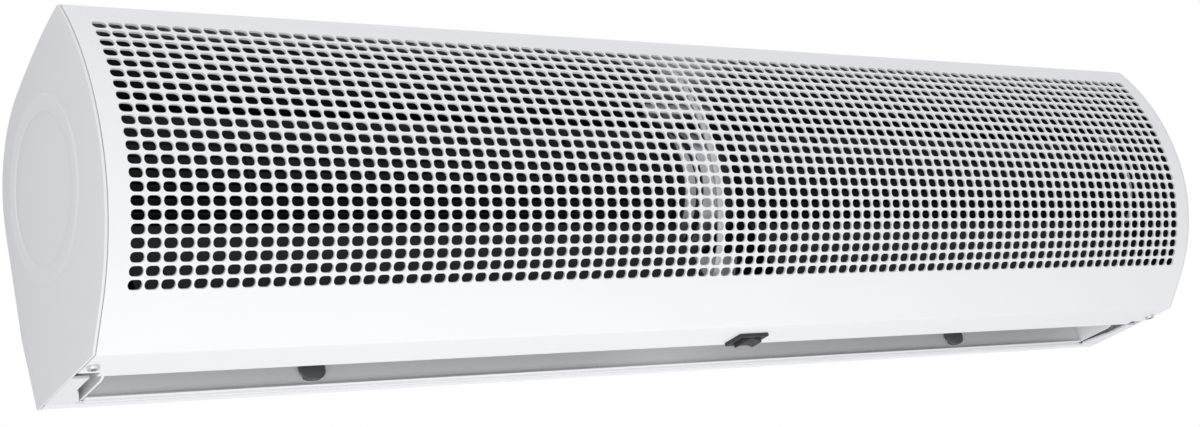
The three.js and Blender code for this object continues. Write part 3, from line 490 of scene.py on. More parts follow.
def pick(kind, test, rim_only=False):
    """Selects the vertices, edges or faces whose middle passes the test."""
    mesh = bpy.context.object.data
    bpy.ops.mesh.select_mode(type=kind)
    bpy.ops.mesh.select_all(action="DESELECT")
    bm = bmesh.from_edit_mesh(mesh)
    items, middle = {
        "VERT": (bm.verts, lambda vertex: vertex.co),
        "EDGE": (bm.edges, lambda edge: (edge.verts[0].co + edge.verts[1].co) / 2),
        "FACE": (bm.faces, lambda face: face.calc_center_median()),
    }[kind]
    for item in items:
        if (not rim_only or item.is_boundary) and test(middle(item)):
            item.select_set(True)
    bm.select_flush_mode()
    bmesh.update_edit_mesh(mesh)


def pick_rim(test):
    """Selects the open edges whose middle passes the test."""
    pick("EDGE", test, rim_only=True)


def pick_all():
    bpy.ops.mesh.select_all(action="SELECT")


def extrude(step):
    """Extrudes what is selected and moves the new end by a step."""
    bpy.ops.mesh.extrude_region_move(TRANSFORM_OT_translate={"value": step})


def weld(distance=TOUCH):
    pick_all()
    bpy.ops.mesh.remove_doubles(threshold=distance)


def face_out():
    pick_all()
    bpy.ops.mesh.normals_make_consistent(inside=False)


def modify(obj, kind, **options):
    """Adds a modifier, applies it, and leaves the object as it was otherwise."""
    modifier = obj.modifiers.new(kind, kind)
    for key, value in options.items():
        setattr(modifier, key, value)
    alone(obj)
    bpy.ops.object.modifier_apply(modifier=modifier.name)


def smooth(obj, degrees=32):
    alone(obj)
    bpy.ops.object.shade_smooth_by_angle(angle=math.radians(degrees))


def rounded(obj, width, segments=2, limit=40):
    modify(
        obj, "BEVEL", width=width, segments=segments, limit_method="ANGLE",
        angle_limit=math.radians(limit), use_clamp_overlap=True,
    )


def eased(obj):
    """Rounds the sharp edges of a piece made from thin sheet."""
    rounded(obj, SHEET_EASE, 2, 50)


def thickened(obj, thickness, offset):
    """Gives a surface its wall. Offset -1 grows it against its normals, 1 along them."""
    modify(obj, "SOLIDIFY", thickness=thickness, offset=offset, use_even_offset=True)


def joined(name, *parts):
    deselect()
    for part in parts:
        part.select_set(True)
    bpy.context.view_layer.objects.active = parts[0]
    if len(parts) > 1:
        bpy.ops.object.join()
    whole = bpy.context.object
    whole.name = name
    return whole


def copied(obj, name, shift):
    """A copy with its own mesh, moved, with its place in the mesh."""
    twin = obj.copy()
    twin.data = obj.data.copy()
    twin.name = name
    bpy.context.collection.objects.link(twin)
    twin.data.transform(Matrix.Translation(shift))
    return twin


def mirrored(obj, name):
    """A copy mirrored across the middle of the unit, with its faces turned back out."""
    twin = copied(obj, name, (0, 0, 0))
    twin.data.transform(Matrix.Scale(-1, 4, (1, 0, 0)))
    twin.data.flip_normals()
    return twin


def settle(obj, body, slot, *nodes):
    """Coats a finished piece, lets it ride on its body and stand for its CAD nodes."""
    deselect()
    coat(obj, slot)
    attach(obj, body)
    if nodes:
        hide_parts(*nodes)


class Pen:
    """Draws a section on from its end, by straight legs and arcs, as a press brake folds a strip.

    With a width it draws a sheet along X, and without one the outline of a plate.
    """

    def __init__(self, name, start, left, right=None):
        deselect()
        bpy.ops.mesh.primitive_plane_add(size=1)
        bpy.context.object.name = name
        bpy.ops.object.mode_set(mode="EDIT")
        pick("VERT", lambda v: v.y > 0)
        bpy.ops.mesh.delete(type="VERT")
        mesh = bpy.context.object.data
        bm = bmesh.from_edit_mesh(mesh)
        for vertex in bm.verts:
            vertex.co = at(*start, left if vertex.co.x < 0 else left if right is None else right)
        bmesh.update_edit_mesh(mesh)
        if right is None:
            weld()
        pick_all()
        self.start = self.here = start

    @classmethod
    def carry_on(cls, here):
        """A pen that goes on from the selected edges of the object in edit mode."""
        pen = cls.__new__(cls)
        pen.start = pen.here = here
        return pen

    def line(self, forward, up):
        extrude(at(forward, up) - at(*self.here))
        self.here = (forward, up)
        return self

    def lines(self, points):
        for point in points:
            self.line(*point)
        return self

    def arc(self, centre, turn, steps):
        """Turns round a centre, by an angle that is positive from forward towards up."""
        bpy.ops.mesh.spin(steps=steps, angle=turn, center=at(*centre), axis=(1, 0, 0))
        radius = math.dist(self.here, centre)
        start = math.atan2(self.here[1] - centre[1], self.here[0] - centre[0])
        self.here = polar(centre, radius, start + turn)
        return self

    def bend(self, corner, after, radius, steps=4):
        """Runs to a corner, round it with a radius, and on in the direction of the next point."""
        start, turn, centre = fillet(self.here, corner, after, radius)
        return self.line(*start).arc(centre, turn, steps)

    def plate(self, depth):
        """Closes the outline, fills it and gives it a depth along X."""
        self.line(*self.start)
        weld()
        bpy.ops.mesh.select_mode(type="EDGE")
        pick_all()
        bpy.ops.mesh.fill(use_beauty=True)
        pick_all()
        bpy.ops.mesh.dissolve_limited(angle_limit=math.radians(0.5))
        pick_all()
        extrude((depth, 0, 0))
        face_out()
        return done()

    def sheet(self, thickness):
        """Welds the strip and gives it a wall, half on either side of the drawn line."""
        weld()
        face_out()
        obj = done()
        thickened(obj, thickness, 0)
        return obj

    def shell(self, thickness, middle):
        """Welds the strip and gives it a wall on the side of a point inside the section."""
        weld()
        face_out()
        obj = done()
        last = obj.data.polygons[-1]
        if (last.center - at(*middle, last.center.x)).dot(last.normal) < 0:
            obj.data.flip_normals()
        thickened(obj, thickness, -1)
        return obj


def fillet(before, corner, after, radius):
    """Start point, turn and centre of a round that replaces a corner."""
    arrive = (Vector(corner) - Vector(before)).normalized()
    leave = (Vector(after) - Vector(corner)).normalized()
    turn = -arrive.angle_signed(leave)
    back = radius * math.tan(abs(turn) / 2)
    start = Vector(corner) - arrive * back
    side = Vector((-arrive.y, arrive.x)) * (1 if turn > 0 else -1)
    return tuple(start), turn, tuple(start + side * radius)


def turned(name, profile, centre, steps=48):
    """Turns an open or closed profile of (radius, x) round an axis along X."""
    deselect()
    first = profile[0]
    pen = Pen(name, (centre[0] + first[0], centre[1]), first[1])
    x = first[1]
    for radius, along in profile[1:]:
        extrude((along - x, -(centre[0] + radius - pen.here[0]), 0))
        pen.here = (centre[0] + radius, centre[1])
        x = along
    pick_all()
    bpy.ops.mesh.spin(steps=steps, angle=2 * math.pi, center=at(*centre), axis=(1, 0, 0))
    weld()
    face_out()
    return done()


def tube(name, inner, outer, start, end, centre, steps):
    """A plain ring or tube between two places along X."""
    profile = [(inner, start), (outer, start), (outer, end), (inner, end), (inner, start)]
    return turned(name, profile, centre, steps)


def bar(name, radius, start, end, ease, centre, steps):
    """A round bar with eased ends."""
    inward = math.copysign(ease, end - start)
    return turned(name, [
        (CORE, start), (radius - ease, start), (radius, start + inward),
        (radius, end - inward), (radius - ease, end), (CORE, end),
    ], centre, steps)


def block(name, low, high):
    """A box between two corners."""
    deselect()
    low, high = Vector(low), Vector(high)
    bpy.ops.mesh.primitive_cube_add(size=1, location=(low + high) / 2)
    obj = bpy.context.object
    obj.name = name
    obj.scale = high - low
    bpy.ops.object.transform_apply(location=True, rotation=True, scale=True)
    return obj


def rod(name, centre, radius, depth, axis, sides=40):
    """A round bar along an axis."""
    deselect()
    turn = Vector((0, 0, 1)).rotation_difference(Vector(axis)).to_euler()
    bpy.ops.mesh.primitive_cylinder_add(
        vertices=sides, radius=radius, depth=depth, location=centre, rotation=turn
    )
    obj = bpy.context.object
    obj.name = name
    bpy.ops.object.transform_apply(location=True, rotation=True, scale=True)
    return obj


def opened(obj, *cutters):
    """Cuts openings and takes the cutting bodies away."""
    for cutter in cutters:
        modify(obj, "BOOLEAN", operation="DIFFERENCE", object=cutter)
        bpy.data.objects.remove(cutter)


def softened(node, name, width, segments=2):
    """A copy of a CAD node, merged, with its flat faces whole and its edges rounded."""
    obj = copied(frame["nodes"][node], name, (0, 0, 0))
    obj.parent = None
    obj.matrix_world = Matrix.Identity(4)
    edit(obj)
    weld(1e-6)
    bpy.ops.mesh.dissolve_limited(angle_limit=math.radians(1))
    done()
    rounded(obj, width, segments)
    smooth(obj)
    return obj


def settle_pair(left, slot, stem=None):
    """Settles a left piece of the housing and its mirrored twin, for the CAD nodes of a stem."""
    right = mirrored(left, left.name.replace("left", "right"))
    for obj, (name, _) in zip((left, right), LEFT_AND_RIGHT):
        settle(obj, "housing", slot, *([f"{stem}_{name}"] if stem else []))


def dress(node, body, slot, width, segments=2):
    """Puts a softened copy in the place of a CAD node whose shape is right."""
    settle(softened(node, f"{node}_dressed", width, segments), body, slot, node)


# ---- Section of the housing ----

class Section:
    """Points of the housing's section, worked out from the sizes."""

    def __init__(self):
        s = settings().housing
        self.s = s
        self.upper_centre = (s.reach - s.upper_radius, s.belly)
        self.lower_centre = (s.reach - s.lower_radius, s.belly)
        self.corner_turn = math.asin((s.height - s.belly) / s.upper_radius)
        self.corner = polar(self.upper_centre, s.upper_radius, self.corner_turn)
        self.band_end = polar(self.lower_centre, s.lower_radius, -s.lower_sweep)
        slope = math.tan(s.lower_sweep)
        self.band_foot = (self.band_end[0] - self.band_end[1] * slope, 0.0)
        self.shoulder = (s.back + s.shoulder_radius, s.shoulder_height)
        self.shoulder_point = polar(self.shoulder, s.shoulder_radius, s.shoulder_end)
        casing = settings().casing
        self.axis = (casing.axis_forward, casing.axis_up)

    def front_arc(self, travel):
        """Centre and radius of the front curve, by the distance along it from the belly."""
        if travel > 0:
            return self.upper_centre, self.s.upper_radius
        return self.lower_centre, self.s.lower_radius

    def front(self, travel, inset=0.0):
        """A point of the front curve, by its distance along it from the belly."""
        centre, radius = self.front_arc(travel)
        return polar(centre, radius - inset, travel / radius)

    def top(self, steps):
        """Points of the top, after the shoulder and up to the sharp front edge."""
        start = Vector(self.shoulder_point)
        end = Vector(self.corner)
        slope = math.tan(self.s.shoulder_end - math.pi / 2)
        fall = math.tan(self.s.top_slope)
        forward = (end.y - start.y + slope * start.x - fall * end.x) / (slope - fall)
        control = Vector((forward, start.y + slope * (forward - start.x)))
        return [tuple(curved(start, control, end, i / steps)) for i in range(1, steps + 1)]

    def tongue(self, steps, inset=0.0):
        """Air side of the tongue, from the slot's front lip to its nose at the wheel."""
        casing = settings().casing
        foot = Vector((self.s.slot_front - inset, self.s.hem + self.s.gap))
        nose = Vector(polar(self.axis, casing.scroll_radius, casing.tongue_angle))
        nose.x -= inset
        control = Vector((foot.x + 0.002, (foot.y + nose.y) / 2 + 0.010))
        return [tuple(curved(foot, control, nose, i / steps)) for i in range(steps + 1)]

    def scroll(self, steps):
        """Air side of the scroll, from over the wheel, round the back and down to the slot."""
        casing = settings().casing
        points = []
        for i in range(steps + 1):
            share = i / steps
            turn = casing.scroll_start + (math.pi - casing.scroll_start) * share
            radius = casing.scroll_radius + casing.scroll_growth * share
            points.append(polar(self.axis, radius, turn))
        rear = points[-1][0]
        foot = (self.s.slot_rear - 0.0013, self.s.sheet + self.s.gap)
        return [*points, (rear, casing.scroll_knee), foot]


# ---- Operators ----

class StageOperator(Operator):
    """Lays the floor, sets the lamps and the world, and places the camera."""

    bl_idname = "air_curtain.stage"
    bl_label = "Stage"

    FLOOR_SIZE, FLOOR_LEVEL = 30, -3.2
    # Name, place, target, size in metres and power in watts.
    LAMPS = (
        ("key_lamp", (-1.1, -1.0, -0.7), (-0.1, -0.05, -0.05), 1.2, 5.5),
        ("front_lamp", (0.0, -1.1, -0.75), (0.0, -0.04, -0.05), 1.2, 2),
        ("under_lamp", (0.0, 0.0, -0.9), (0.0, -0.04, -0.05), 1.5, 5.5),
        ("top_lamp", (-0.6, -1.4, 1.3), (0.0, -0.08, 0.0), 1.5, 6.5),
    )
    SKY_TINT, SKY_STRENGTH = (0.97, 0.985, 1.0, 1), 0.6
    CAMERA_PLACE = (-0.8454, -1.0498, -0.4166)
    CAMERA_VIEW = (0.5880, 0.7414, 0.3239)
    CAMERA_RIGHT = (0.8090, -0.5388, -0.2354)
    LENS, SENSOR = 58.9, 36

    def execute(self, context):
        self.floor()
        self.lamps()
        self.world(context)
        self.camera(context)
        context.scene.view_settings.view_transform = "Standard"
        return {"FINISHED"}

    def floor(self):
        deselect()
        bpy.ops.mesh.primitive_plane_add(size=self.FLOOR_SIZE, location=(0, 0, self.FLOOR_LEVEL))
        floor = bpy.context.object
        floor.name = "studio_floor"
        bpy.ops.object.transform_apply(location=True, rotation=True, scale=True)
        finish = Finish("floor_finish", settings().colours.floor, 0.9)
        finish.varied(finish.noise(3.0), settings().colours.floor, 0.01)
        floor.data.materials.append(finish.material)

    def lamps(self):
        for name, place, target, size, power in self.LAMPS:
            lamp = bpy.data.lights.new(name, "AREA")
            lamp.shape = "SQUARE"
            lamp.size = size
            lamp.energy = power
            obj = bpy.data.objects.new(name, lamp)
            obj.location = place
            aim = Vector(target) - Vector(place)
            obj.rotation_euler = aim.to_track_quat("-Z", "Y").to_euler()
            obj.visible_camera = False
            bpy.context.collection.objects.link(obj)

    def world(self, context):
        """A soft sky, which the camera, glass and gloss see as plain white."""
        world = bpy.data.worlds.new("studio_world")
        context.scene.world = world
        world.use_nodes = True
        nodes, links = world.node_tree.nodes, world.node_tree.links
        nodes.clear()
        light_path = nodes.new("ShaderNodeLightPath")
        seen = light_path.outputs["Is Camera Ray"]
        for kind in ("Is Transmission Ray", "Is Glossy Ray"):
            either = nodes.new("ShaderNodeMath")
            either.operation = "MAXIMUM"
            links.new(seen, either.inputs[0])
            links.new(light_path.outputs[kind], either.inputs[1])
            seen = either.outputs[0]
        white = nodes.new("ShaderNodeBackground")
        white.inputs["Color"].default_value = (1, 1, 1, 1)
        soft = nodes.new("ShaderNodeBackground")
        soft.inputs["Color"].default_value = self.SKY_TINT
        soft.inputs["Strength"].default_value = self.SKY_STRENGTH
        blend = nodes.new("ShaderNodeMixShader")
        output = nodes.new("ShaderNodeOutputWorld")
        links.new(seen, blend.inputs["Fac"])
        links.new(soft.outputs[0], blend.inputs[1])
        links.new(white.outputs[0], blend.inputs[2])
        links.new(blend.outputs[0], output.inputs["Surface"])

    def camera(self, context):
        data = bpy.data.cameras.new("camera")
        data.lens = self.LENS
        data.sensor_width = self.SENSOR
        data.clip_start = 0.01
        camera = bpy.data.objects.new("camera", data)
        right = Vector(self.CAMERA_RIGHT)
        away = -Vector(self.CAMERA_VIEW)
        up = away.cross(right)
        turn = Matrix((right, up, away)).transposed().to_4x4()
        camera.matrix_world = Matrix.Translation(self.CAMERA_PLACE) @ turn
        context.collection.objects.link(camera)
        context.scene.camera = camera


class FrontCoverOperator(Operator):
    """Makes the front cover: one sheet with the perforated field, the band, the flange and hem."""

    bl_idname = "air_curtain.front_cover"
    bl_label = "Front cover"

    def execute(self, context):
        section = Section()
        s, holes = settings().housing, settings().holes
        rows = self.rows(section, holes)
        cover = joined("front_cover", *rows)
        edit(cover)
        weld(NEAR)
        self.top_edge(section, s, holes)
        self.bottom_edge(section, s, holes)
        self.side_bands(holes)
        weld()
        face_out()
        self.switch_opening(s)
        self.corner_reliefs(s)
        cover = done()
        if self.faces_in(cover):
            cover.data.flip_normals()
        thickened(cover, s.sheet, -1)
        smooth(cover, 30)
        settle(cover, "housing", "white_coat", "intake_grille", "lower_cover")
        return {"FINISHED"}

    def tile(self, holes):
        """One hole with the metal round it, in the plane of X and Z."""
        deselect()
        bpy.ops.mesh.primitive_plane_add(size=1, rotation=(math.pi / 2, 0, 0))
        tile = bpy.context.object
        tile.scale = (holes.hole_width, holes.hole_height, 1)
        bpy.ops.object.transform_apply(location=True, rotation=True, scale=True)
        edit(tile)
        pick_all()
        bpy.ops.mesh.bevel(
            offset=holes.hole_round, offset_type="OFFSET", segments=3, affect="VERTICES"
        )
        pick_all()
        bpy.ops.mesh.delete(type="ONLY_FACE")
        pick_all()
        extrude((0, 0, 0))
        bm = bmesh.from_edit_mesh(tile.data)
        half = Vector((holes.column_pitch / 2, 0, holes.row_pitch / 2))
        for vertex in bm.verts:
            if vertex.select:
                across, up = vertex.co.x, vertex.co.z
                vertex.co = (math.copysign(half.x, across), 0, math.copysign(half.z, up))
        bmesh.update_edit_mesh(tile.data)
        weld(1e-6)
        return done()

    def rows(self, section, holes):
        """A row is an array of tiles, and each copy is turned to its place on the curve."""
        tile = self.tile(holes)
        modify(
            tile, "ARRAY", count=holes.columns, use_relative_offset=False,
            use_constant_offset=True, constant_offset_displace=(holes.column_pitch, 0, 0),
            use_merge_vertices=True, merge_threshold=TOUCH,
        )
        tile.data.transform(
            Matrix.Translation((-(holes.columns - 1) * holes.column_pitch / 2, 0, 0))
        )
        made = []
        for row in range(holes.rows):
            travel = holes.centre + (row - (holes.rows - 1) / 2) * holes.row_pitch
            centre, radius = section.front_arc(travel)
            turn = Matrix.Rotation(-travel / radius, 4, "X")
            place = Matrix.Translation(at(*centre)) @ turn @ Matrix.Translation((0, -radius, 0))
            strip = copied(tile, f"row_{row}", (0, 0, 0))
            strip.data.transform(place)
            made.append(strip)
        bpy.data.objects.remove(tile)
        return made

    def top_edge(self, section, s, holes):
        field_top = holes.centre + holes.rows / 2 * holes.row_pitch
        level = at(*section.front(field_top)).z
        pick_rim(lambda p: abs(p.z - level) < 2 * NEAR)
        turn = section.corner_turn - field_top / s.upper_radius
        bpy.ops.mesh.spin(steps=4, angle=turn, center=at(*section.upper_centre), axis=(1, 0, 0))
        back = -(s.sheet * 6) * Vector((0, -math.cos(s.top_slope), math.sin(s.top_slope)))
        drop = Vector((0, 0, -s.sheet - s.gap))
        extrude(drop + back * 0.12)
        extrude(back)

    def bottom_edge(self, section, s, holes):
        field_bottom = holes.centre - holes.rows / 2 * holes.row_pitch
        level = at(*section.front(field_bottom)).z
        pick_rim(lambda p: abs(p.z - level) < 2 * NEAR)
        turn = -s.lower_sweep - field_bottom / s.lower_radius
        bpy.ops.mesh.spin(steps=4, angle=turn, center=at(*section.lower_centre), axis=(1, 0, 0))
        pen = Pen.carry_on(section.band_end)
        lip = (s.slot_front, 0.0)
        pen.bend(section.band_foot, lip, s.bend)
        pen.bend(lip, (s.slot_front, s.hem), s.bend)
        pen.line(s.slot_front, s.hem)

    def side_bands(self, holes):
        edge = holes.columns * holes.column_pitch / 2
        reach = HOUSING_END - edge
        for side in (-1, 1):
            pick_rim(lambda p: abs(p.x - side * edge) < NEAR)
            extrude((side * reach, 0, 0))

    def open_flange(self, left, right, front, rear, top):
        """Opens the underside between two places along X and two along Y, up to a height."""
        for place, normal in (
            ((left, 0, 0), (1, 0, 0)), ((right, 0, 0), (1, 0, 0)),
            ((0, front, 0), (0, 1, 0)), ((0, rear, 0), (0, 1, 0)),
        ):
            pick("FACE", lambda p: p.z < top)
            bpy.ops.mesh.bisect(plane_co=place, plane_no=normal)
        pick("FACE", lambda p: p.z < top and left < p.x < right and front < p.y < rear)
        bpy.ops.mesh.delete(type="FACE")

    def switch_opening(self, s):
        low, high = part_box("switch_body")
        rim = 0.002 - s.gap
        self.open_flange(
            low.x + rim, high.x - rim, low.y + rim, high.y - rim, UNDERSIDE + s.sheet / 2
        )

    def corner_reliefs(self, s):
        """Cuts the lip's corners away, where its hem would meet the end plates."""
        front = -(s.slot_front + s.relief_depth)
        rear = -(s.slot_front - s.sheet)
        for side in (-1, 1):
            ends = sorted((side * (HOUSING_END - s.relief_length), side * (HOUSING_END + s.sheet)))
            self.open_flange(*ends, front, rear, UNDERSIDE + s.hem + s.sheet)

    def faces_in(self, cover):
        front = min(cover.data.polygons, key=lambda face: face.center.y)
        return front.normal.y > 0


class RearShellOperator(Operator):
    """Makes the back and top: one sheet from the slot's rear edge to the sharp front edge."""

    bl_idname = "air_curtain.rear_shell"
    bl_label = "Rear shell"

    def execute(self, context):
        section = Section()
        s = settings().housing
        pen = Pen("rear_shell", (s.slot_rear, 0.0), -HOUSING_END, HOUSING_END)
        pen.bend((s.foot, 0), (s.back, s.foot_height), s.bend)
        pen.line(s.back, s.foot_height)
        pen.line(s.back, s.shoulder_height)
        pen.arc(section.shoulder, -(math.pi - s.shoulder_end), 28)
        pen.lines(section.top(14))
        shell = pen.shell(s.sheet, section.axis)
        opened(shell, *self.hook_slots(s), self.cable_hole(s))
        shell = joined("rear_shell", shell, self.lip(s))
        smooth(shell, 30)
        settle(shell, "housing", "white_coat", "rear_housing")
        return {"FINISHED"}

    def lip(self, s):
        """The upturned lip that closes the slot's rear edge behind the vane's foot."""
        front = s.slot_rear + s.sheet
        lip = block("lip", at(front, 0, -VANE_END), at(s.slot_rear - s.sheet, s.lip, VANE_END))
        eased(lip)
        return lip

    def hook_slots(self, s):
        plate = settings().plate
        half = plate.hook_width / 2 + 0.001
        top = plate.level + s.gap
        drop = plate.hook_lift + s.sheet + plate.hook_room
        for side in (-1, 1):
            x = side * plate.hook_place
            yield block("slot", at(s.back + 0.003, top - drop, x - half), at(0.001, top, x + half))

    def cable_hole(self, s):
        low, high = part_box("cable_grommet")
        radius = (high.x - low.x) / 2 - 0.003 + s.gap
        return rod("hole", (low + high) / 2, radius, CUT, (0, 1, 0))


class EndPlatesOperator(Operator):
    """Makes the end plates, with their stamped rings, return flanges and sills, and the dark
    sheets inside the ends that are painted shade.
    """

    bl_idname = "air_curtain.end_plates"
    bl_label = "End plates"

    def execute(self, context):
        section = Section()
        s = settings().housing
        plate = self.plate(section, s)
        ring = self.ring(section, s)
        flange = self.flange(section, s)
        sill = self.sill(s)
        left = joined("end_plate_dressed_left", plate, ring, flange, sill, self.floor_tab(s))
        settle_pair(left, "grey_coat", "end_plate")
        # The near black on these sheets is painted shade inside the ends.
        settle_pair(self.shade_sheet(section, s), "rubber")
        return {"FINISHED"}

    def shade_sheet(self, section, s):
        """A dark sheet on the inside of the end, and on the side plate round the wheel's end,
        whose near black is painted shade.
        """
        inset = 2.6 * s.sheet  # clears the return flange
        wall = -s.half_length + s.end_plate + s.gap
        pen = Pen("shade_plate", (s.back + inset, s.foot_height), wall)
        self.outline(section, s, pen, inset)
        obj = pen.plate(s.shade_sheet)
        casing = settings().casing
        face = -END_PLATE_INNER + s.sheet + s.gap / 4
        rim, hole = casing.scroll_radius + 0.001, 0.0165
        disc = tube("disc", hole, rim, face, face + s.shade_sheet, section.axis, 96)
        return joined("end_lining_left", obj, disc)

    def outline(self, section, s, pen, inset=0.0):
        """Draws round the unit, from the rear foot up the back and down the front."""
        pen.line(s.back + inset, s.foot_height)
        pen.line(s.back + inset, s.shoulder_height)
        pen.arc(section.shoulder, -(math.pi - s.shoulder_end), 20)
        top = [(f, u - inset) for f, u in section.top(10)]
        pen.lines(top[:-1])
        turn = section.corner_turn - inset * CORNER_TRIM
        pen.line(*polar(section.upper_centre, s.upper_radius - inset, turn))
        pen.arc(section.upper_centre, -turn, 16)
        pen.arc(section.lower_centre, -s.lower_sweep, 20)
        return pen

    def plate(self, section, s):
        pen = Pen("plate", (s.foot, 0.0), -s.half_length)
        self.outline(section, s, pen)
        pen.line(*section.band_foot)
        obj = pen.plate(s.end_plate)
        rounded(obj, 0.0006, 2, 50)
        smooth(obj, 25)
        return obj

    def ring(self, section, s):
        """The stamped ring stands out of the plate, with soft edges."""
        face = -s.half_length
        lift = s.ring_height
        ease = 0.0008
        profile = [
            (s.ring_inner - ease, face + lift / 2),
            (s.ring_inner - ease * 0.4, face),
            (s.ring_inner + ease * 0.4, face - lift * 0.8),
            (s.ring_inner + ease * 1.4, face - lift),
            (s.ring_outer - ease * 1.4, face - lift),
            (s.ring_outer - ease * 0.4, face - lift * 0.8),
            (s.ring_outer + ease * 0.4, face),
            (s.ring_outer + ease, face + lift / 2),
            (s.ring_inner - ease, face + lift / 2),
        ]
        obj = turned("ring", profile, section.axis, 96)
        smooth(obj, 60)
        return obj

    def flange(self, section, s):
        """The return flange that the housing sheets lap over, all round but the underside."""
        inset = s.sheet * 1.5 + s.gap
        inner = -s.half_length + s.end_plate
        pen = Pen("flange", (s.foot + inset, s.sheet * 4), inner - s.gap, inner + s.tab)
        self.outline(section, s, pen, inset)
        obj = pen.sheet(s.sheet)
        smooth(obj, 30)
        return obj

    def sill(self, s):
        """The tab along the slot's end, with a rounded ear near its rear end."""
        root = -s.half_length + s.end_plate / 2
        edge = -s.half_length + s.end_plate + s.tab
        rear = s.slot_rear + s.gap
        tab = block("tab", at(s.slot_front - s.gap, 0, root), at(rear, s.sheet, edge))
        tip = edge + s.ear
        lap = edge - s.sheet
        ear = block("ear", at(s.ear_front, 0, lap), at(rear, s.sheet, tip))
        edit(ear)
        pick("EDGE", lambda p: abs(p.x - tip) < TOUCH and abs(p.y + s.ear_front) < TOUCH)
        bpy.ops.transform.translate(value=(-s.ear * 0.9, 0, 0))
        upright = UNDERSIDE + s.sheet / 2
        pick("EDGE", lambda p: p.x > lap + 0.001 and abs(p.z - upright) < TOUCH)
        bpy.ops.mesh.bevel(offset=0.005, segments=8)
        done()
        modify(tab, "BOOLEAN", object=ear, operation="UNION", solver="EXACT")
        bpy.data.objects.remove(ear)
        eased(tab)
        return tab

    def floor_tab(self, s):
        """The tab under which the front cover's flange is screwed."""
        root = -s.half_length + s.end_plate / 2
        edge = -s.half_length + s.end_plate + s.tab
        inset = s.sheet + s.gap
        rear = s.slot_front + s.relief_depth + s.sheet
        low = at(Section().band_foot[0] - s.fold, inset, root)
        floor_tab = block("floor_tab", low, at(rear, inset + s.sheet, edge))
        eased(floor_tab)
        return floor_tab


class CasingOperator(Operator):
    """Makes the scrolls, the tongues and the side plates that carry the wheels."""

    bl_idname = "air_curtain.casing"
    bl_label = "Casing"

    def execute(self, context):
        section = Section()
        s = settings().housing
        for name, side in LEFT_AND_RIGHT:
            ends = sorted((side * CASING_INNER, side * CASING_OUTER))
            self.scroll(section, s, name, ends)
            self.tongue(section, s, name, ends)
        self.outer_cheeks(section, s)
        self.inner_cheeks()
        return {"FINISHED"}

    def scroll(self, section, s, name, ends):
        path = section.scroll(28)
        low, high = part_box(f"scroll_{name}")
        lead = (-low.y - s.sheet / 2, high.z - UNDERSIDE - s.sheet)
        pen = Pen(f"scroll_dressed_{name}", lead, *ends)
        pen.lines(path[:-2])
        pen.bend(path[-2], path[-1], 0.012, 6)
        pen.line(*path[-1])
        obj = pen.sheet(s.sheet)
        smooth(obj, 30)
        # The near black on the scroll is painted shade inside the housing.
        settle(obj, "housing", "motor_black", f"scroll_{name}")

    def tongue(self, section, s, name, ends):
        path = section.tongue(16)
        pen = Pen(f"tongue_dressed_{name}", path[0], *ends)
        pen.lines(path[1:])
        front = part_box(f"tongue_{name}")[0].y
        toe = (-front - s.sheet / 2, section.front(settings().casing.seam_bottom)[1])
        pen.line(*toe)
        obj = pen.sheet(s.sheet)
        smooth(obj, 50)
        # The near black on the tongue is painted shade inside the housing.
        settle(obj, "housing", "motor_black", f"tongue_{name}")

    def cheek(self, section, s, x, name):
        """A side plate's outline: the slot's rounded corner, the tongue, the wheel, the scroll."""
        casing = settings().casing
        front = s.slot_front - s.gap
        low = s.sheet + s.gap
        round_centre = (front - casing.cheek_round, low + casing.cheek_round)
        scroll = section.scroll(24)
        pen = Pen(name, scroll[-1], x)
        pen.line(front - casing.cheek_round, low)
        pen.arc(round_centre, math.pi / 2, 14)
        pen.lines(section.tongue(12, s.gap)[1:])
        rim = casing.scroll_radius + 0.002
        start = casing.tongue_angle + math.radians(4)
        pen.line(*polar(section.axis, rim, start))
        pen.arc(section.axis, casing.scroll_start - start, 36)
        pen.lines(scroll[:-1])
        return pen

    def outer_cheeks(self, section, s):
        inner = -END_PLATE_INNER
        pen = self.cheek(section, s, inner, "outer_cheek_dressed_left")
        obj = pen.plate(s.sheet)
        v = settings().vane
        opened(
            obj,
            rod("hole", at(*section.axis, inner), 0.016, CUT, (1, 0, 0), 64),
            rod("hole", at(v.pivot_forward, v.pivot_up, inner), v.pin + s.gap, CUT, (1, 0, 0)),
        )
        rounded(obj, EASE, 2, 60)
        smooth(obj, 30)
        settle_pair(obj, "white_coat", "outer_cheek")

    def inner_cheeks(self):
        for name, _ in LEFT_AND_RIGHT:
            obj = softened(f"inner_cheek_{name}", f"inner_cheek_dressed_{name}", EASE)
            # The near black on the inner cheeks is painted shade inside the housing.
            settle(obj, "housing", "motor_black", f"inner_cheek_{name}")


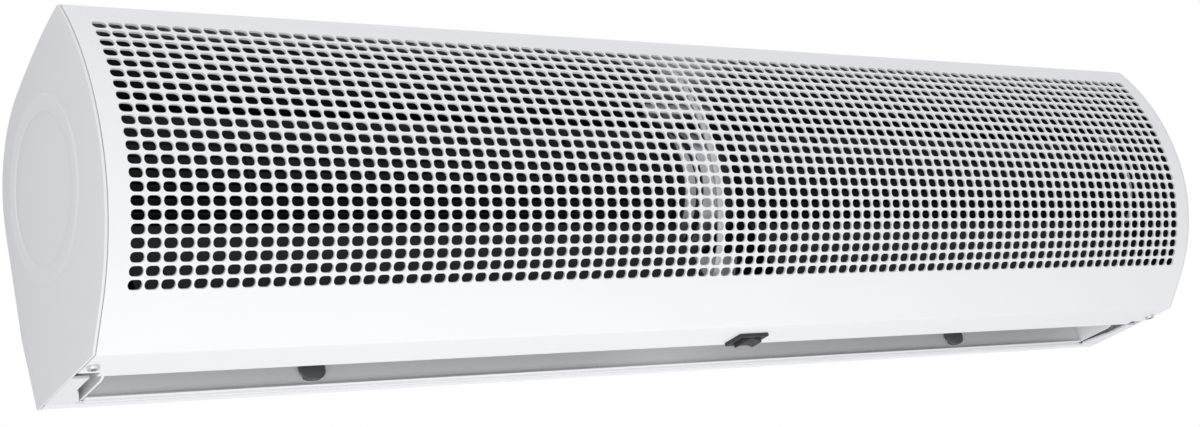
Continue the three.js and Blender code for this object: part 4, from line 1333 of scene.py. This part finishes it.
class VaneOperator(Operator):
    """Makes the guide vane with its rolled eye, its pins and its finger clips."""

    bl_idname = "air_curtain.vane"
    bl_label = "Guide vane"

    def execute(self, context):
        s, v = settings().housing, settings().vane
        pivot = (v.pivot_forward, v.pivot_up)
        vane = joined("guide_vane_dressed", self.blade(s, v, pivot), self.eye(v, pivot))
        smooth(vane, 30)
        settle(vane, "vane", "grey_coat", "guide_vane")
        self.pins(v, pivot)
        self.clips(v)
        return {"FINISHED"}

    def clips(self, v):
        """The finger clips, with their tips drawn up from the vane's foot."""
        for name, _ in LEFT_AND_RIGHT:
            clip = softened(f"lip_clip_{name}", f"lip_clip_dressed_{name}", 0.0006, 3)
            low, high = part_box(f"lip_clip_{name}")
            edit(clip)
            pick("VERT", lambda p: p.z < (low.z + high.z) / 2)
            bpy.ops.transform.translate(value=(0, 0, v.clip_rise))
            done()
            settle(clip, "vane", "clip_plastic", f"lip_clip_{name}")

    def blade(self, s, v, pivot):
        """The bowed blade: its rear face runs from the foot up to the pivot."""
        foot = Vector((pivot[0] - v.lean, v.foot))
        control = Vector((pivot[0] - v.bow, (pivot[1] + v.foot) / 2))
        start = (foot.x + v.hem, foot.y + v.hem_rise + s.sheet / 2)
        pen = Pen("blade", start, -VANE_END, VANE_END)
        pen.line(foot.x + s.sheet, foot.y + s.sheet / 2)
        steps = 16
        for i in range(1, steps + 1):
            place = curved(foot, control, Vector(pivot), i / steps)
            pen.line(place.x + s.sheet / 2, place.y)
        blade = pen.sheet(s.sheet)
        rounded(blade, EASE)
        return blade

    def eye(self, v, pivot):
        return tube("eye", v.pin + PLAY, v.eye, -VANE_END, VANE_END, pivot, 32)

    def pins(self, v, pivot):
        for name, side in LEFT_AND_RIGHT:
            low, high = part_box(f"vane_pin_{name}")
            tip, head = (low.x, high.x) if side > 0 else (high.x, low.x)
            pin = bar(f"vane_pin_dressed_{name}", v.pin, tip, head, EASE, pivot, 24)
            smooth(pin, 40)
            settle(pin, "vane", "bright_steel", f"vane_pin_{name}")


class WheelsOperator(Operator):
    """Makes the cross-flow wheels, the shafts, the bearings and their bushes."""

    bl_idname = "air_curtain.wheels"
    bl_label = "Wheels"

    def execute(self, context):
        casing = settings().casing
        axis = (casing.axis_forward, casing.axis_up)
        low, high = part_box("wheel_left")
        left = self.wheel(axis, casing, low.x, high.x)
        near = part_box("wheel_right")[0].x
        right = copied(left, "wheel_dressed_right", (near - low.x, 0, 0))
        # The wheels' near-black coat is painted shade inside the housing.
        settle(left, "rotor", "wheel_aluminium", "wheel_left")
        settle(right, "rotor", "wheel_aluminium", "wheel_right")
        self.shafts(axis, casing)
        self.bearings(axis, casing)
        return {"FINISHED"}

    def wheel(self, axis, casing, start, end):
        """The blades, a disc with its hub at both ends, and the rings between them."""
        parts = [self.blades(axis, casing, start, end)]
        hole = casing.shaft_radius + PLAY
        rim, hub, ease, root = casing.wheel_radius, casing.hub_radius, 0.0005, 0.001
        for face, inward in ((start, 1), (end, -1)):
            parts.append(turned("disc", [
                (hole, face), (rim - ease, face), (rim, face + inward * ease),
                (rim, face + inward * casing.disc), (hub + root, face + inward * casing.disc),
                (hub, face + inward * (casing.disc + root)),
                (hub, face + inward * casing.hub_length),
                (hole, face + inward * casing.hub_length), (hole, face),
            ], axis, 72))
        inner = casing.wheel_radius - casing.blade_depth - 0.001
        for i in range(casing.rings):
            x = start + (end - start) * (i + 1) / (casing.rings + 1)
            half = casing.blade_sheet
            parts.append(tube("ring", inner, casing.wheel_radius, x - half, x + half, axis, 72))
        wheel = joined("wheel_dressed_left", *parts)
        smooth(wheel, 30)
        return wheel

    def blades(self, axis, casing, start, end):
        """One curved blade, and its copies round the axis."""
        inner = casing.wheel_radius - casing.blade_depth
        outer = casing.wheel_radius - 0.0003
        lean = math.radians(9)
        pen = Pen("blade", polar(axis, inner, 0), start + 0.001, end - 0.001)
        steps = 5
        for i in range(1, steps + 1):
            t = i / steps
            pen.line(*polar(axis, inner + (outer - inner) * t, lean * t ** 2.2))
        blade = pen.sheet(casing.blade_sheet)
        made = [blade]
        for i in range(1, casing.blades):
            twin = copied(blade, "blade", (0, 0, 0))
            centre = Matrix.Translation(at(*axis))
            turn = Matrix.Rotation(2 * math.pi * i / casing.blades, 4, "X")
            twin.data.transform(centre @ turn @ centre.inverted())
            made.append(twin)
        return joined("blades", *made)

    def shafts(self, axis, casing):
        for node in ("motor_shaft", "stub_shaft_left", "stub_shaft_right"):
            low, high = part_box(node)
            ease = 0.0006
            shaft = bar(f"{node}_dressed", casing.shaft_radius, low.x, high.x, ease, axis, 40)
            smooth(shaft, 40)
            settle(shaft, "rotor", "bright_steel", node)

    def bearings(self, axis, casing):
        """The bearings, with sunk shields, and the grooved bushes that hold them."""
        bore = casing.shaft_radius + PLAY
        race, body = 0.011, 0.0157
        ring, sunk, soft = 0.002, 0.0008, 0.0007
        groove = settings().housing.sheet / 2 + PLAY
        for name, _ in LEFT_AND_RIGHT:
            low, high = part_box(f"bearing_{name}")
            middle, half = (low.x + high.x) / 2, (high.x - low.x) / 2
            start, end = middle - half, middle + half
            bearing = turned(f"bearing_dressed_{name}", [
                (bore, start), (bore + ring, start), (bore + ring, start + sunk),
                (race - ring, start + sunk), (race - ring, start), (race - EASE, start),
                (race, start + EASE), (race, end - EASE),
                (race - EASE, end), (race - ring, end), (race - ring, end - sunk),
                (bore + ring, end - sunk), (bore + ring, end), (bore, end), (bore, start),
            ], axis, 48)
            smooth(bearing, 35)
            settle(bearing, "housing", "bright_steel", f"bearing_{name}")
            low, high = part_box(f"bearing_bush_{name}")
            middle, half = (low.x + high.x) / 2, (high.x - low.x) / 2
            start, end = middle - half, middle + half
            flange = (high.z - low.z) / 2
            bush = turned(f"bearing_bush_dressed_{name}", [
                (race + PLAY, start), (flange - soft, start), (flange, start + soft),
                (flange, middle - groove), (body, middle - groove),
                (body, middle + groove), (flange, middle + groove),
                (flange, end - soft), (flange - soft, end),
                (race + PLAY, end), (race + PLAY, start),
            ], axis, 48)
            smooth(bush, 35)
            settle(bush, "housing", "rubber", f"bearing_bush_{name}")


class MotorOperator(Operator):
    """Makes the motor with its clamp, cradle and strap, the rib in front, and the bay's tray."""

    bl_idname = "air_curtain.motor"
    bl_label = "Motor"

    def execute(self, context):
        casing = settings().casing
        section = Section()
        self.can(section.axis, casing)
        self.bells(section.axis, casing)
        self.band(section.axis, casing)
        self.rib(section)
        for node, slot in (
            ("motor_cradle", "galvanised_sheet"), ("motor_strap", "galvanised_sheet"),
            ("electrics_tray", "galvanised_sheet"), ("capacitor", "black_plastic"),
            ("terminal_block", "black_plastic"), ("bay_floor", "grey_coat"),
        ):
            dress(node, "housing", slot, EASE)
        return {"FINISHED"}

    def can(self, axis, casing):
        low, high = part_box("motor_can")
        bore = casing.shaft_radius + PLAY
        radius, ease = casing.motor_radius, 0.001
        can = turned("motor_can_dressed", [
            (bore, low.x), (radius - ease, low.x), (radius, low.x + ease),
            (radius, high.x - ease), (radius - ease, high.x), (bore, high.x), (bore, low.x),
        ], axis, 96)
        smooth(can, 35)
        settle(can, "housing", "motor_black", "motor_can")

    def bells(self, axis, casing):
        bore = casing.shaft_radius + PLAY
        rim = casing.motor_radius - 0.001
        for name, side in LEFT_AND_RIGHT:
            low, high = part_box(f"motor_bell_{name}")
            near, far = (low.x, high.x) if side > 0 else (high.x, low.x)
            bell = turned(f"motor_bell_dressed_{name}", [
                (bore, near), (rim, near), (rim, near + side * 0.004),
                (rim - 0.0015, near + side * 0.006), (rim - 0.005, near + side * 0.0075),
                (0.019, near + side * 0.0077), (0.0165, near + side * 0.009),
                (0.015, far - side * 0.0006), (0.0144, far), (bore, far), (bore, near),
            ], axis, 96)
            smooth(bell, 40)
            settle(bell, "housing", "motor_black", f"motor_bell_{name}")

    def band(self, axis, casing):
        """The bright clamp round the motor's left end."""
        inner, outer = casing.motor_radius + 0.0001, casing.motor_radius + 0.0007
        start, end = casing.band_start, casing.band_end
        ease = 0.0002
        band = turned("motor_band", [
            (inner, start), (outer - ease, start), (outer, start + ease), (outer, end - ease),
            (outer - ease, end), (inner, end), (inner, start),
        ], axis, 96)
        smooth(band, 30)
        settle(band, "housing", "galvanised_sheet")

    def rib(self, section):
        """A strip across the folds behind the front's seams, at the bay's left side."""
        s, casing = settings().housing, settings().casing
        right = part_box("centre_rib")[1].x
        top = casing.seam_top + s.sheet
        bottom = casing.seam_bottom - s.sheet
        inset = s.fold + s.gap + s.sheet / 2
        left = right - casing.rib_width
        pen = Pen("centre_rib_dressed", section.front(top, inset), left, right)
        pen.arc(section.upper_centre, -top / s.upper_radius, 18)
        pen.arc(section.lower_centre, bottom / s.lower_radius, 20)
        rib = pen.sheet(s.sheet)
        rounded(rib, SHEET_EASE)
        smooth(rib, 30)
        settle(rib, "housing", "white_coat", "centre_rib")


class FittingsOperator(Operator):
    """Makes the switch, the wall plate, the cable's grommet and the screws."""

    bl_idname = "air_curtain.fittings"
    bl_label = "Fittings"

    def execute(self, context):
        dress("switch_body", "housing", "black_plastic", 0.0007, 3)
        dress("switch_rocker", "rocker", "black_plastic", 0.0006, 3)
        self.wall_plate()
        self.grommet()
        for name, _ in LEFT_AND_RIGHT:
            self.screw(f"cover_screw_{name}", -1)
            self.screw(f"top_screw_{name}", 1)
        return {"FINISHED"}

    def wall_plate(self):
        """The plate with its screw holes, and the hooks that the housing hangs on."""
        s, p = settings().housing, settings().plate
        low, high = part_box("wall_plate")
        thick = s.back - s.gap
        reach = high.x - p.hole_inset
        body = block("plate", (low.x, -thick, low.z), (high.x, 0, high.z))
        edit(body)
        pick("EDGE", lambda q: abs(q.y + thick / 2) < TOUCH)
        bpy.ops.mesh.bevel(offset=p.corner, segments=6)
        done()
        middle = UNDERSIDE + p.level
        opened(body, *(
            rod("hole", (side * reach, 0, middle + rise * p.hole_rise), p.hole, CUT, (0, 1, 0), 32)
            for side in (-1, 1) for rise in (-1, 1)
        ))
        eased(body)
        hooks = [self.hook(s, p, thick, side * p.hook_place) for side in (-1, 1)]
        plate = joined("wall_plate_dressed", body, *hooks)
        smooth(plate, 30)
        settle(plate, "housing", "galvanised_sheet", "wall_plate")

    def hook(self, s, p, thick, x):
        """A tongue bent forward out of the plate and up behind the housing's back."""
        half = p.hook_width / 2
        inside = s.back + s.sheet + s.gap
        pen = Pen("hook", (thick - 0.0005, p.level - s.sheet / 2), x - half, x + half)
        lip = (inside + s.sheet / 2, p.level - s.sheet / 2)
        tip = (lip[0], p.level + p.hook_lift)
        pen.bend(lip, tip, 0.0012, 4)
        pen.line(*tip)
        hook = pen.sheet(s.sheet)
        eased(hook)
        return hook

    def grommet(self):
        """A rubber grommet: its groove grips the edge of the cable's hole in the back."""
        low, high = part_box("cable_grommet")
        flange = (high.x - low.x) / 2
        centre = (low + high) / 2
        body, bore, lip = flange - 0.003, flange - 0.006, 0.0014
        depth = high.y - low.y
        grommet = turned("grommet_dressed", [
            (bore + 0.0006, 0), (flange - 0.0007, 0), (flange, 0.0005), (flange, lip),
            (body, lip), (body, depth - 2 * lip - 0.0002), (flange, depth - 2 * lip - 0.0002),
            (flange - 0.0004, depth - lip), (flange - 0.002, depth - 0.0003),
            (flange - 0.0026, depth), (bore + 0.0006, depth), (bore, depth - 0.0006),
            (bore, 0.0006), (bore + 0.0006, 0),
        ], (0, -UNDERSIDE), 48)
        turn = Matrix.Rotation(-math.pi / 2, 4, "Z")
        grommet.data.transform(Matrix.Translation((centre.x, high.y, centre.z)) @ turn)
        smooth(grommet, 40)
        settle(grommet, "housing", "rubber", "cable_grommet")

    def screw(self, node, upward):
        """A pan head screw with a cross recess. Its head points up or down."""
        low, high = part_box(node)
        centre = (low + high) / 2
        radius = (high.x - low.x) / 2 * 1.05
        head, shank, crown_edge = 0.0022, 0.0017, 0.0012
        recess, recess_turn = (0.0038, 0.0009, 0.0022), 0.4
        seat = high.z - head if upward > 0 else low.z + head
        tip = low.z if upward > 0 else high.z
        top = seat + upward * head
        crown = rod("crown", (centre.x, centre.y, (seat + top) / 2), radius, head, (0, 0, 1))
        edit(crown)
        pick("EDGE", lambda p: abs(p.z - top) < TOUCH)
        bpy.ops.mesh.bevel(offset=crown_edge, segments=4, profile=0.6)
        done()
        for turn in (0, math.pi / 2):
            deselect()
            bpy.ops.mesh.primitive_cube_add(
                size=1, location=(centre.x, centre.y, top), rotation=(0, 0, turn + recess_turn)
            )
            cutter = bpy.context.object
            cutter.scale = recess
            bpy.ops.object.transform_apply(location=True, rotation=True, scale=True)
            opened(crown, cutter)
        middle = (centre.x, centre.y, (seat + tip) / 2)
        stem = rod("stem", middle, shank, abs(seat - tip), (0, 0, 1), 20)
        whole = joined(f"{node}_dressed", crown, stem)
        smooth(whole, 30)
        settle(whole, "housing", "bright_steel", node)


PIECES = (
    StageOperator,
    FrontCoverOperator,
    RearShellOperator,
    EndPlatesOperator,
    CasingOperator,
    VaneOperator,
    WheelsOperator,
    MotorOperator,
    FittingsOperator,
)


class AirCurtainPanel(Panel):
    """Lists the steps that build the air curtain."""

    bl_idname = "VIEW3D_PT_air_curtain"
    bl_label = "Air curtain"
    bl_space_type = "VIEW_3D"
    bl_region_type = "UI"
    bl_category = "Air curtain"

    def draw(self, context):
        for piece in PIECES:
            self.layout.operator(piece.bl_idname)


GROUPS = (HousingSizes, PerforationSizes, CasingSizes, VaneSizes, PlateSizes, Colours, AirCurtain)


def register():
    for cls in (*GROUPS, *PIECES, AirCurtainPanel):
        bpy.utils.register_class(cls)
    bpy.types.Scene.air_curtain = PointerProperty(type=AirCurtain)


def unregister():
    del bpy.types.Scene.air_curtain
    for cls in reversed((*GROUPS, *PIECES, AirCurtainPanel)):
        bpy.utils.unregister_class(cls)


def main():
    """Builds every piece."""
    register()
    for piece in PIECES:
        group, name = piece.bl_idname.split(".")
        getattr(getattr(bpy.ops, group), name)()
    for name, node in frame["nodes"].items():
        slot = next(r["material_slot"] for r in frame["record"]["subparts"] if r["node"] == name)
        coat(node, slot)


if __name__ == "__main__":
    main()
